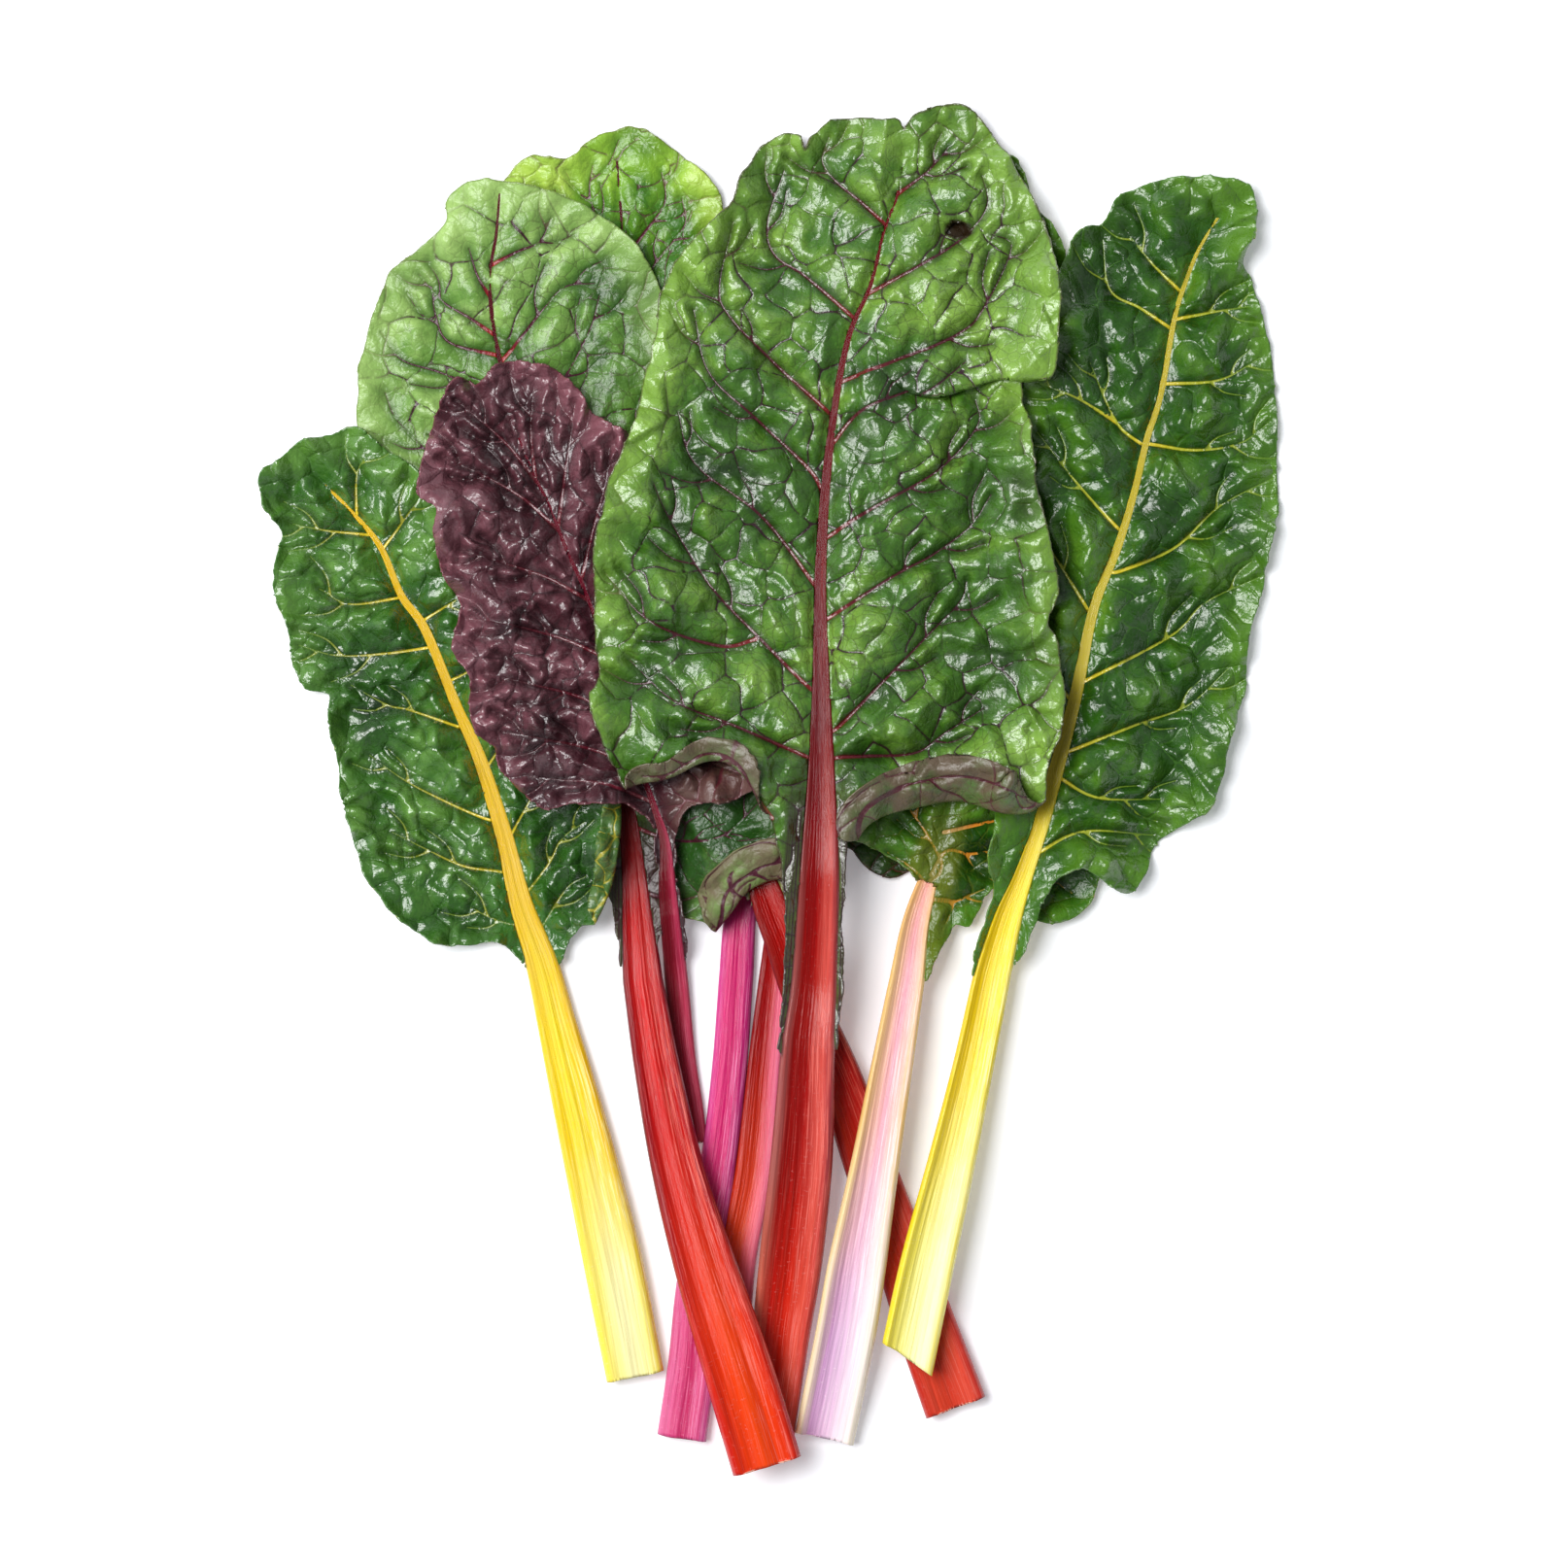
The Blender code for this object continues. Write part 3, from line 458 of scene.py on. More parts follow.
# The channel along the top of a stalk: place across it, and depth as a share of its thickness.
PLAIN_CHANNEL = ((-1, 0), (-0.84, 0.05), (-0.4, 0.26), (0, 0.4), (0.4, 0.26), (0.84, 0.05), (1, 0))
CHANNELS = {
    "magenta": ((-1, 0), (-0.7, 0.08), (-0.3, 0.02), (0.1, 0.1), (0.5, 0.03), (0.8, 0.08), (1, 0)),
    "yellow_left": ((-1, 0), (-0.8, 0.03), (-0.5, 0.14), (-0.15, 0.08), (0.15, 0.14), (0.5, 0.09),
                    (0.85, 0.03), (1, 0)),
    "yellow_right": ((-1, 0), (-0.84, 0.03), (-0.62, 0.3), (-0.3, 0.4), (0.3, 0.3), (0.82, 0.04), (1, 0)),
    "red_left": ((-1, 0), (-0.84, 0.05), (-0.42, 0.3), (0.0, 0.17), (0.42, 0.3), (0.84, 0.05), (1, 0)),
    "pink_white": ((-1, 0), (-0.84, 0.02), (-0.55, 0.32), (-0.2, 0.42), (0.3, 0.3), (0.84, 0.03), (1, 0)),
    "centre_red": ((-1, 0), (-0.86, 0.03), (-0.6, 0.24), (-0.05, 0.42), (0.1, 0.3), (0.5, 0.16),
                   (0.86, 0.04), (1, 0)),
}


def stalk_depth(width):
    return np.maximum(STALK_DEPTH_RATIO * width, MIDRIB_LEAST_DEPTH)


def stalk_section(name, width, along, seed):
    """Across (-1 to 1) and up (millimetres) of each point of each ring."""
    depth = stalk_depth(width)[:, None]
    width = width[:, None]
    along = along[:, None]
    a = np.linspace(1, -1, TOP_POINTS)[None, :]
    channel = curve_through(CHANNELS.get(name, PLAIN_CHANNEL), 8)
    wander = a + 0.1 * noise(along, 0 * along, 70.0, seed) * (1 - a ** 2)
    dip = np.interp(wander, channel[:, 0], channel[:, 1]) * rise(width, *CHANNEL_FADE)
    top = depth * (0.97 - dip - 0.42 * np.abs(a) ** 9)
    strands = noise(a * 7.0 + 0 * along, along * 0.03, 1.0, seed + 1)
    strands = strands + 0.7 * noise(a * 15.0 + 0 * along, along * 0.05, 1.0, seed + 2)
    top = top + strands * RIB_HEIGHT * width * (1 - a ** 8)
    b = np.linspace(-1, 1, UNDER_POINTS + 2)[None, 1:-1]
    under = depth * 0.52 * (1 - np.sqrt(np.clip(1 - np.abs(b) ** ROUNDING, 0, 1)))
    under = under + RIB_HEIGHT * width * (1 + np.cos(b * UNDER_RIBS * np.pi)) * (1 - b ** 6)
    across = np.hstack([np.broadcast_to(a, top.shape), np.broadcast_to(b, under.shape)])
    return across, np.hstack([top, under])


def build_stalk(name, leaf, line, seed):
    """Rings along x, y, underside, width, closed by a cut face and a fine tip."""
    along = lengths_along(line)
    across, up = stalk_section(name, line[:, 3], along, seed)
    sides = side_directions(line)
    forward = np.column_stack([-sides[:, 1], sides[:, 0]])
    slant = leaf.get("slant", 0.0) + 0.5 * noise(across * 1.6, 0 * across, 1.0, seed + 4)
    slant = -slant * across * (1 - rise(along, 0, CUT_SLANT_LENGTH))[:, None]
    xy = (line[:, None, :2] + sides[:, None, :] * (across * line[:, 3:4] / 2)[:, :, None]
          + forward[:, None, :] * slant[:, :, None])
    rings = np.dstack([xy, line[:, 2:3] + up])
    count = rings.shape[1]
    # The cut face: the first ring shrunk in steps onto its middle, a little hollow.
    first = rings[0]
    middle = first.mean(axis=0)
    inward = rings[1].mean(axis=0) - middle
    caps = [first * share + middle * (1 - share) + inward * (CUT_HOLLOW * (1 - share ** 4))
            for share in CUT_STEPS]
    last = rings[-1]
    ends = [last * share + last.mean(axis=0) * (1 - share) for share in TIP_STEPS]
    rings = np.concatenate([np.stack(caps), rings, np.stack(ends)])
    total = len(rings)
    index = np.arange(total * count).reshape(total, count)
    nxt = np.roll(index, -1, axis=1)
    faces = np.stack([index[:-1], index[1:], nxt[1:], nxt[:-1]], axis=-1).reshape(-1, 4)
    points = rings.reshape(-1, 3)
    padded = np.concatenate([np.zeros(len(caps)), along, np.full(len(ends), along[-1])])
    cut = np.concatenate([np.ones(len(caps)), [0.6], np.zeros(total - len(caps) - 1)])
    attributes = {
        "across": np.tile(across[0], total),
        "along": np.repeat(padded, count),
        "cut": np.repeat(cut, count),
        "under": np.tile(np.concatenate([np.zeros(TOP_POINTS), np.ones(UNDER_POINTS)]), total),
    }
    u = UV_EDGE + (1 - 2 * UV_EDGE) * np.arange(total) / (total - 1)
    v = UV_EDGE + (1 - 2 * UV_EDGE) * np.arange(count) / count
    uvs = np.dstack(np.meshgrid(u, v, indexing="ij")).reshape(-1, 2)
    piece = make_mesh(name + "_stalk_skin", points, faces, attributes, uvs, MATERIALS[name + "_stalk"])
    return piece, rings[len(caps):-len(ends)]


# ---- veins ----

FOOT_LENGTH = 12           # a blade's foot runs this far down into its stalk
SAMPLE = 0.4               # spacing of the points that lines are looked up by
SIDE_VEIN = (0.58, 0.14)   # half width at the start and the end of a side vein
FORK = (0.3, 0.1)          # and of its forks
ROOT_REACH = 9.0           # a side vein that starts this near its midrib is joined to it
ROOT_SKIP = 3.5            # and its own first point is left out if it is nearer than this
FORK_LENGTH = 11.0
FORK_PLACES = ((45, 1), (66, -1), (84, 1))    # hundredths along a side vein, and the side
FORK_ROOM = 2.4            # a fork keeps this far from other veins
WORKED_OUT = 7             # side veins on each side of a blade that shows none
PAIR_STRIDE = 100000       # tells the pairs of neighbouring meshes of the web apart
STEPS = 4096               # more than the steps along any one line


def grid(low, high, cell):
    return np.meshgrid(np.arange(low[0], high[0], cell), np.arange(low[1], high[1], cell))


def tree_of(points):
    tree = KDTree(len(points))
    for number, point in enumerate(points):
        tree.insert((point[0], point[1], 0.0), number)
    tree.balance()
    return tree


def nearest(tree, xy):
    found = [tree.find((x, y, 0.0)) for x, y in xy]
    return np.array([f[1] for f in found]), np.array([f[2] for f in found])


def side_paths(leaf, midrib):
    """Side veins: given ones, or for a leaf that hardly shows, ones worked out."""
    paths = []
    if "veins" in leaf:
        for path in leaf["veins"]:
            gaps = gaps_to(midrib, path[0])
            at = int(np.argmin(gaps))
            if gaps[at] < ROOT_REACH:
                rest = path[1:] if gaps[at] < ROOT_SKIP else path
                path = (tuple(midrib[max(at - 2, 0), :2]),) + tuple(rest)
            paths.append(curve_through(path, 12))
        return paths
    for side in ("left", "right"):
        margin = evenly(curve_through(leaf[side]), 101)
        for number in range(WORKED_OUT):
            start = 0.06 + 0.115 * (number + 0.4 * (side == "left"))
            root = midrib[int(start * (len(midrib) - 1)), :2]
            goal = margin[int(min(start + 0.18, 0.97) * 100)]
            end = root + (goal - root) * 0.85
            paths.append(curve_through((root, (root + end) / 2 + (0, -3), end), 12))
    return paths


def forks_of(paths, seed):
    """Curved forks that leave each side vein near its end, one to each side, where there is room."""
    tree = tree_of(np.vstack([evenly(path[:, :2], 40) for path in paths]))
    forks = []
    for number, path in enumerate(paths):
        line = evenly(path[:, :2], 100)
        if lengths_along(line)[-1] < 1.6 * FORK_LENGTH:
            continue
        for share, side in FORK_PLACES:
            side = side if number % 2 else -side
            along = line[share] - line[share - 3]
            along /= np.hypot(*along)
            out = np.array([along[1], -along[0]]) * side
            size = FORK_LENGTH * (0.8 + 0.5 * hashed(number, share, seed))
            middle = line[share] + size * (0.36 * along + 0.34 * out)
            end = line[share] + size * (0.95 * along + 0.52 * out)
            others = [tree] + ([tree_of(np.vstack(forks))] if forks else [])
            if all(nearest(other, [middle, end])[1].min() > FORK_ROOM for other in others):
                forks.append(curve_through((line[share], middle, end), 8))
    return forks


def vein_points(paths, widths):
    """Closely spaced points along veins, the half width at each, and how far out each is."""
    spots, halves, runs = [], [], []
    for path in paths:
        spots.append(spaced(path[:, :2], SAMPLE, 3))
        halves.append(np.linspace(*widths, len(spots[-1])))
        runs.append(np.linspace(0, 1, len(spots[-1])))
    return np.vstack(spots), np.concatenate(halves), np.concatenate(runs)


def web_field(xy, size, seed):
    """The web of small veins: the way to its nearest thread, a name for each stretch, its strength."""
    low, high = xy.min(axis=0) - 2 * size, xy.max(axis=0) + 2 * size
    low = np.floor(low / (4 * size)) * 4 * size
    gx, gy = grid(low, high, size)
    i, j = np.round(gx / size), np.round(gy / size)
    turned = hashed(i, j, seed) * 2 * np.pi
    reach = size * (0.2 + 0.35 * hashed(j, i, seed + 3))
    gx = gx + (j % 2) * size / 2
    seeds = np.column_stack([(gx + reach * np.cos(turned)).ravel(),
                             (gy + reach * np.sin(turned)).ravel()])
    names = hashed(np.round(seeds[:, 0], 2), np.round(seeds[:, 1], 2), seed + 4)
    bend = 0.16 * size
    warped = xy + bend * np.column_stack([noise(*xy.T, size * 0.75, seed + 5),
                                          noise(*xy.T, size * 0.75, seed + 6)])
    tree = tree_of(seeds)
    pairs = np.array([[f[1] for f in tree.find_n((x, y, 0.0), 2)] for x, y in warped])
    home, other = seeds[pairs[:, 0]], seeds[pairs[:, 1]]
    apart = other - home
    size_apart = np.hypot(*apart.T)
    gap = ((warped - other) ** 2).sum(axis=1) - ((warped - home) ** 2).sum(axis=1)
    gap = gap / (2 * size_apart)
    way = apart / size_apart[:, None]
    middle = (home + other) / 2
    beside = (warped - middle)[:, 0] * way[:, 1] - (warped - middle)[:, 1] * way[:, 0]
    beside = beside * np.where(pairs[:, 0] < pairs[:, 1], 1, -1)
    strength = hashed(names[pairs].min(axis=1) * 91.0, names[pairs].max(axis=1) * 57.0, seed + 9)
    stretch = pairs.min(axis=1) * PAIR_STRIDE + pairs.max(axis=1)
    return gap, way, stretch, beside, strength


def one_per_step(name, step, gap, allowed):
    """Of the places near each step along each line, only the nearest."""
    chosen = np.flatnonzero(allowed)
    keys = name[chosen].astype(np.int64) * STEPS + (step[chosen].astype(np.int64) % STEPS)
    order = np.lexsort((gap[chosen], keys))
    keys = keys[order]
    first = np.ones(len(keys), dtype=bool)
    first[1:] = keys[1:] != keys[:-1]
    picked = np.zeros(len(gap), dtype=bool)
    picked[chosen[order[first]]] = True
    return picked


# ---- blades ----

# Sizes of the puckers and wrinkles, and how far and over what length they wander.
BROAD, MIDDLING, FINE, RIDGES = 27, 11, 5.0, 16
WANDER, WANDER_SIZE = 3.5, 15
VEIN_RISE, WEB_RISE = 5.0, 2.6         # how far from a vein the blade takes to swell
BULGE_HEIGHT, PUCKER_HEIGHT = 3.2, 1.9
RUFFLE_HEIGHT, RUFFLE_WIDTH = 2.7, 14  # the wavy margin
HOLD = 13.0                # a blade is held up by its midrib about this far out
SCALLOPS = ((0.9, 19), (0.55, 8), (0.3, 4))    # height and length of the scallops of a margin
SLIVER = 0.02              # a margin isn't cut nearer than this to a corner
OUTSIDE = -9.0             # stands for far outside, and FAR for far inside
FAR = 9.0

FOLD_RADIUS = 1.2          # bend radius of a rolled-over margin
FOLD_POINTS = 260
FOLD_SMOOTHING = 20
FOLD_REACH = 26            # only this much of the margin beyond the line is rolled
FOLD_LIFT, FOLD_PUCKER = 0.9, 0.65


def closed_outline(leaf, line, seed):
    """The margin as a loop of closely spaced points, with small scallops. It starts inside the stalk."""
    sides = side_directions(line)
    loop = []
    for side, sign in (("left", -1), ("right", 1)):
        start = np.array(leaf[side][0], dtype=float)
        at = int(np.argmin(gaps_to(line, start)))
        below = max(at - int(FOOT_LENGTH / STALK_STEP), 0)
        hidden = line[below, :2] + sides[below] * (sign * 0.3 * line[below, 3])
        loop.append(curve_through([tuple(hidden)] + list(leaf[side])))
    loop = np.vstack([loop[0], loop[1][::-1], loop[0][:1]])
    loop = spaced(loop, SAMPLE)
    along = lengths_along(loop)
    scallop = sum(size * noise(along, 0 * along, step, seed + 40 + step) for size, step in SCALLOPS)
    return loop + side_directions(loop) * scallop[:, None]


def inside_loop(xy, loop):
    """Even-odd test of many places against a loop."""
    loop = loop[::3]
    result = np.zeros(len(xy), dtype=bool)
    x, y = xy.T
    for (ax, ay), (bx, by) in zip(loop, np.roll(loop, -1, axis=0)):
        if ay == by:
            continue
        result ^= ((ay > y) != (by > y)) & (x < (bx - ax) * (y - ay) / (by - ay) + ax)
    return result


def clip(xy, triangles, field):
    """The part of a sheet of triangles where the field is above zero, cut along its zero line."""
    field = np.where(np.abs(field) < SLIVER, SLIVER, field)
    inside = field > 0
    count = inside[triangles].sum(axis=1)
    corners = []
    for wanted in (1, 2):
        some = triangles[count == wanted]
        odd = np.argmax(inside[some] == (wanted == 1), axis=1)
        some = np.take_along_axis(some, (odd[:, None] + np.arange(3)) % 3, axis=1)
        corners.append(some)
    one, two = corners
    edges = np.concatenate([one[:, [0, 1]], one[:, [0, 2]], two[:, [0, 1]], two[:, [0, 2]]])
    keys = np.sort(edges, axis=1)
    unique, where = np.unique(keys[:, 0].astype(np.int64) * len(xy) + keys[:, 1], return_inverse=True)
    start, end = unique // len(xy), unique % len(xy)
    share = (field[start] / (field[start] - field[end]))[:, None]
    fresh = xy[start] * (1 - share) + xy[end] * share
    where = where.ravel() + len(xy)
    n1, n2 = len(one), len(two)
    ab1, ac1 = where[:n1], where[n1:2 * n1]
    ab2, ac2 = where[2 * n1:2 * n1 + n2], where[2 * n1 + n2:]
    triangles = np.concatenate([triangles[count == 3], np.column_stack([one[:, 0], ab1, ac1]),
                                np.column_stack([ab2, two[:, 1], two[:, 2]]),
                                np.column_stack([ab2, two[:, 2], ac2])])
    xy = np.vstack([xy, fresh])
    used = np.zeros(len(xy), dtype=bool)
    used[triangles.ravel()] = True
    return xy[used], (np.cumsum(used) - 1)[triangles]


class Blade:
    """One blade: where its veins and margin are, and how high it lies at any place."""

    def __init__(self, name, leaf, line, midrib, pile, seed):
        self.name, self.leaf, self.seed, self.pile = name, leaf, seed, pile
        self.outline = closed_outline(leaf, line, seed)
        self.outline_tree = tree_of(self.outline)
        self.line = spaced(line, SAMPLE)
        self.line_tree = tree_of(self.line)
        paths = side_paths(leaf, midrib)
        main = vein_points(paths, [half * leaf.get("slim", 1.0) for half in SIDE_VEIN])
        forks = vein_points(forks_of(paths, seed), FORK)
        forks = (forks[0], forks[1], 0.6 + 0.4 * forks[2])
        self.veins, self.vein_half, self.vein_run = (np.concatenate(pair) for pair in zip(main, forks))
        self.vein_tree = tree_of(self.veins)
        creases = [evenly(curve_through(PLEAT_LINE), PLEAT_POINTS)] if name == HOLED else []
        self.creases = np.vstack([self.veins] + creases)
        self.draped, self.hard = pile.draped(), pile.widened(1)

    def sheet(self):
        """Places and triangles of the flat blade, with edges along its veins."""
        cell = self.leaf["cell"] * 1.0
        low, high = self.outline.min(axis=0) - cell, self.outline.max(axis=0) + cell
        gx, gy = grid(low, high, cell)
        xy = np.column_stack([gx.ravel(), gy.ravel()])
        ruled = xy.copy()
        near = inside_loop(xy, self.outline) | (nearest(self.outline_tree, xy)[1] < 2 * cell)
        close = xy[near]
        at, gap = nearest(tree_of(self.creases), close)
        on_vein = one_per_step(at // int(cell / SAMPLE + 0.5), 0 * at, gap, gap < 0.62 * cell)
        web_gap, way, stretch, beside, strength = web_field(close, self.leaf["web"], self.seed + 50)
        on_web = one_per_step(stretch, np.floor(beside / cell) + STEPS / 2, web_gap,
                              (web_gap < 0.55 * cell) & (gap > 1.1 * cell) & (strength > 0.15))
        close = close + np.where(on_web[:, None], way * web_gap[:, None], 0.0)
        close[on_vein] = self.creases[at[on_vein]]
        xy[near] = close
        soft = np.full(len(xy), FAR)
        soft[near] = np.where(on_vein | on_web, 0.0, np.minimum(gap, web_gap))
        index = np.arange(len(xy)).reshape(gx.shape)
        cells = np.stack([index[:-1, :-1], index[:-1, 1:], index[1:, 1:], index[1:, :-1]], axis=-1)
        cells = cells.reshape(-1, 4)
        cells = cells[near[cells].all(axis=1)]
        first_way = soft[cells[:, 0]] + soft[cells[:, 2]]
        second_way = soft[cells[:, 1]] + soft[cells[:, 3]]
        cells = np.where((first_way <= second_way)[:, None], cells, np.roll(cells, -1, axis=1))
        triangles = np.concatenate([cells[:, [0, 1, 2]], cells[:, [0, 2, 3]]])
        # Where pulling places onto the veins has squashed a triangle, they go back to the ruled grid.
        for _ in range(3):
            a, b, c = (xy[triangles[:, k]] for k in range(3))
            area = (b - a)[:, 0] * (c - a)[:, 1] - (b - a)[:, 1] * (c - a)[:, 0]
            squashed = triangles[area < 0.22 * cell ** 2].ravel()
            xy[squashed] = ruled[squashed]
        field = np.full(len(xy), OUTSIDE)
        field[near] = self.extent(xy[near])
        return clip(xy, triangles, field)

    def extent(self, xy):
        """Above zero inside the margin, outside the slot for the midrib, and outside the hole."""
        gap = nearest(self.outline_tree, xy)[1]
        field = np.where(inside_loop(xy, self.outline), gap, -gap)
        at, from_line = nearest(self.line_tree, xy)
        slot = from_line - (self.line[at, 3] / 2 - JOIN)
        open_line = (at < len(self.line) - 1) & ~self.covered(at)
        field = np.minimum(field, np.where(open_line, slot, FAR))
        if self.name == HOLED:
            field = np.minimum(field, self.from_hole(xy))
        return field

    def from_hole(self, xy):
        reach = np.hypot((xy[:, 0] - HOLE[0]) / HOLE[2], (xy[:, 1] - HOLE[1]) / HOLE[3])
        return (reach - 1 + HOLE_RAGGED * noise(*xy.T, 1.7, 5)) * HOLE[3]

    def read(self, xy):
        """What the surface is like at each place."""
        seed, leaf = self.seed, self.leaf
        at, from_line = nearest(self.line_tree, xy)
        half = self.line[at, 3] / 2
        past_tip = at >= len(self.line) - 1
        beside = np.where(past_tip, from_line, (from_line - half).clip(0))
        vein_at, vein_gap = nearest(self.vein_tree, xy)
        margin_at, margin_gap = nearest(self.outline_tree, xy)
        web_gap, _, _, _, strength = web_field(xy, leaf["web"], seed + 50)
        web_gap = web_gap.clip(0)
        x, y = xy.T
        wx = x + WANDER * noise(x, y, WANDER_SIZE, seed + 20)
        wy = y + WANDER * noise(x, y, WANDER_SIZE, seed + 21)
        broad, mid, fine, ridge = (noise(wx, wy, size, seed + 22 + number)
                                   for number, size in enumerate((BROAD, MIDDLING, FINE, RIDGES)))
        ridge = np.clip(1 - 2.3 * np.abs(ridge), 0, 1) ** 1.6
        big = np.minimum(vein_gap, beside)
        rise_big = 1 - fall(big, VEIN_RISE, 1.2)
        rise_web = 1 - fall(np.minimum(big, web_gap), WEB_RISE, 1.2)
        shape = leaf["bulge"] * BULGE_HEIGHT * rise_big * (0.9 + 0.6 * broad)
        swell = (0.5 + 0.7 * strength) * (0.9 + 0.8 * mid)
        shape = shape + leaf["pucker"] * PUCKER_HEIGHT * rise_web * swell
        shape = shape + leaf["crumple"] * rise_big * (1.7 * ridge + 1.2 * mid + 0.25 * fine)
        # Creases that run out from the veins.
        pull = noise(vein_at * SAMPLE, vein_gap * 0.25, 5.5, seed + 28) * fall(vein_gap, 7)
        pull = pull * (1 - fall(vein_gap, 1.5))
        tug = noise(at * SAMPLE, beside * 0.2, 7.0, seed + 29) * fall(beside, 9)
        shape = shape + leaf["crumple"] * (1.5 * pull + 1.5 * tug * (1 - fall(beside, 1.5)))
        ruffle = noise(margin_at * SAMPLE, margin_gap * 0.3, 24, seed + 26)
        ruffle = ruffle + 0.35 * noise(margin_at * SAMPLE, margin_gap * 0.5, 9, seed + 27)
        ruffle = (ruffle + 0.25) * (1 - rise(margin_gap, 0, RUFFLE_WIDTH)) * rise(beside, 3, 14)
        shape = shape + RUFFLE_HEIGHT * ruffle
        shape = np.maximum(shape, 0.04 * beside.clip(0, 6))
        if self.name == HOLED:
            shape = shape - 2.2 * fall(self.from_hole(xy).clip(0), 1.1)
        foot = np.clip(1 + (leaf.get("foot", 24) - at * SAMPLE + self.foot_length()) / 25, 0, 1)
        foot = foot * (1 - rise(beside, 3, 7))
        tone = 0.5 + 0.5 * mid + 0.3 * broad
        # Darker spots lower the tone; some of them are painted shade.
        if "deep" in leaf:
            tone = tone + 0.2 - self.within("deep", np.column_stack([wx, wy]))
        return {
            "vein": vein_gap - self.vein_half[vein_at], "web": web_gap, "strength": strength,
            "run": self.vein_run[vein_at],
            "margin": margin_gap, "beside": beside, "tone": tone,
            "foot": np.where(past_tip, 0, foot), "shape": shape,
            "rim": (self.line[at, 2] + 0.9 * stalk_depth(self.line[at, 3])
                    + (BLADE_THICKNESS + LAYER_GAP) * self.covered(at)),
        }

    def covered(self, at):
        return self.line[at, 1] > self.leaf.get("covered", math.inf)

    def within(self, key, xy):
        """How strongly each place belongs to the round parts that a leaf gives under a key."""
        return sum(strength * (1 - rise(np.hypot(*(xy - (x, y)).T), 0.6 * radius, radius))
                   for x, y, radius, strength in self.leaf[key])

    def foot_length(self):
        start = (self.outline[0] + self.outline[-1]) / 2
        return float(np.argmin(gaps_to(self.line, start))) * SAMPLE

    def height(self, xy, facts):
        hold = fall(facts["beside"], HOLD, 1.5)
        draped = self.pile.sample(self.draped, xy)
        hard = self.pile.sample(self.hard, xy)
        free = hold * facts["rim"] + (1 - hold) * draped + facts["shape"]
        return np.maximum(free, hard + LAYER_GAP + BLADE_THICKNESS)


def roll_margin(blade, points, flat, facts, fold):
    """Roll the margin beyond a fold line up and back over the blade."""
    line = evenly(curve_through(fold), FOLD_POINTS)
    line = over_window(line, FOLD_SMOOTHING, np.mean, mode="reflect", reflect_type="odd")
    outward = side_directions(line)
    at, gap = nearest(tree_of(line), flat)
    away = ((flat - line[at, :2]) * outward[at]).sum(axis=1)
    active = (away > 0) & (away < FOLD_REACH) & (at > 0) & (at < len(line) - 1) & (gap < away + 1.0)
    turn = np.clip(away / FOLD_RADIUS, 0, np.pi)
    over = np.maximum(away - np.pi * FOLD_RADIUS, 0)
    moved = flat + ((FOLD_RADIUS * np.sin(turn) - over - away)[:, None] * outward[at])
    chosen = np.flatnonzero(active)
    if not len(chosen):
        return points
    place = moved[chosen]
    under = blade.read(place)
    loose = 1 - fall(over, 3.0)
    lift = FOLD_RADIUS * (1 - np.cos(turn)) + FOLD_LIFT * loose
    pucker = FOLD_PUCKER * facts["shape"] * loose
    height = blade.height(place, under) + lift[chosen] + pucker[chosen]
    points = points.copy()
    points[chosen] = np.column_stack([place, height])
    return points


def pleat(points):
    """Lap the upper part of the centre leaf over its lower part along the pleat line."""
    line = evenly(curve_through(PLEAT_LINE), PLEAT_POINTS)
    above = side_directions(line)
    at, _ = nearest(tree_of(line), points[:, :2])
    away = ((points[:, :2] - line[at, :2]) * above[at]).sum(axis=1)
    share = rise(np.minimum(at * 6.0, len(line) - 1.0 - at), 2, 60)
    upper = (away > PLEAT_LIP) * share
    beyond, before = away.clip(0), -away.clip(max=0)
    lip = (1 - fall(beyond + 1.0, 1.4)) * fall(beyond, 15.0)
    moved = points.copy()
    moved[:, 2] += upper * PLEAT_HEIGHT * lip
    moved[:, 2] -= (away <= PLEAT_LIP) * share * PLEAT_PRESS * fall(before, 5.0)
    moved[:, :2] -= (upper * PLEAT_LAP * fall(beyond, 6.0))[:, None] * above[at]
    return moved


def vertex_normals(points, triangles):
    a, b, c = (points[triangles[:, k]] for k in range(3))
    face = np.cross(b - a, c - a)
    normals = np.zeros_like(points)
    for k in range(3):
        for axis in range(3):
            normals[:, axis] += np.bincount(triangles[:, k], face[:, axis], len(points))
    return normals / np.maximum(np.linalg.norm(normals, axis=1), 1e-9)[:, None]


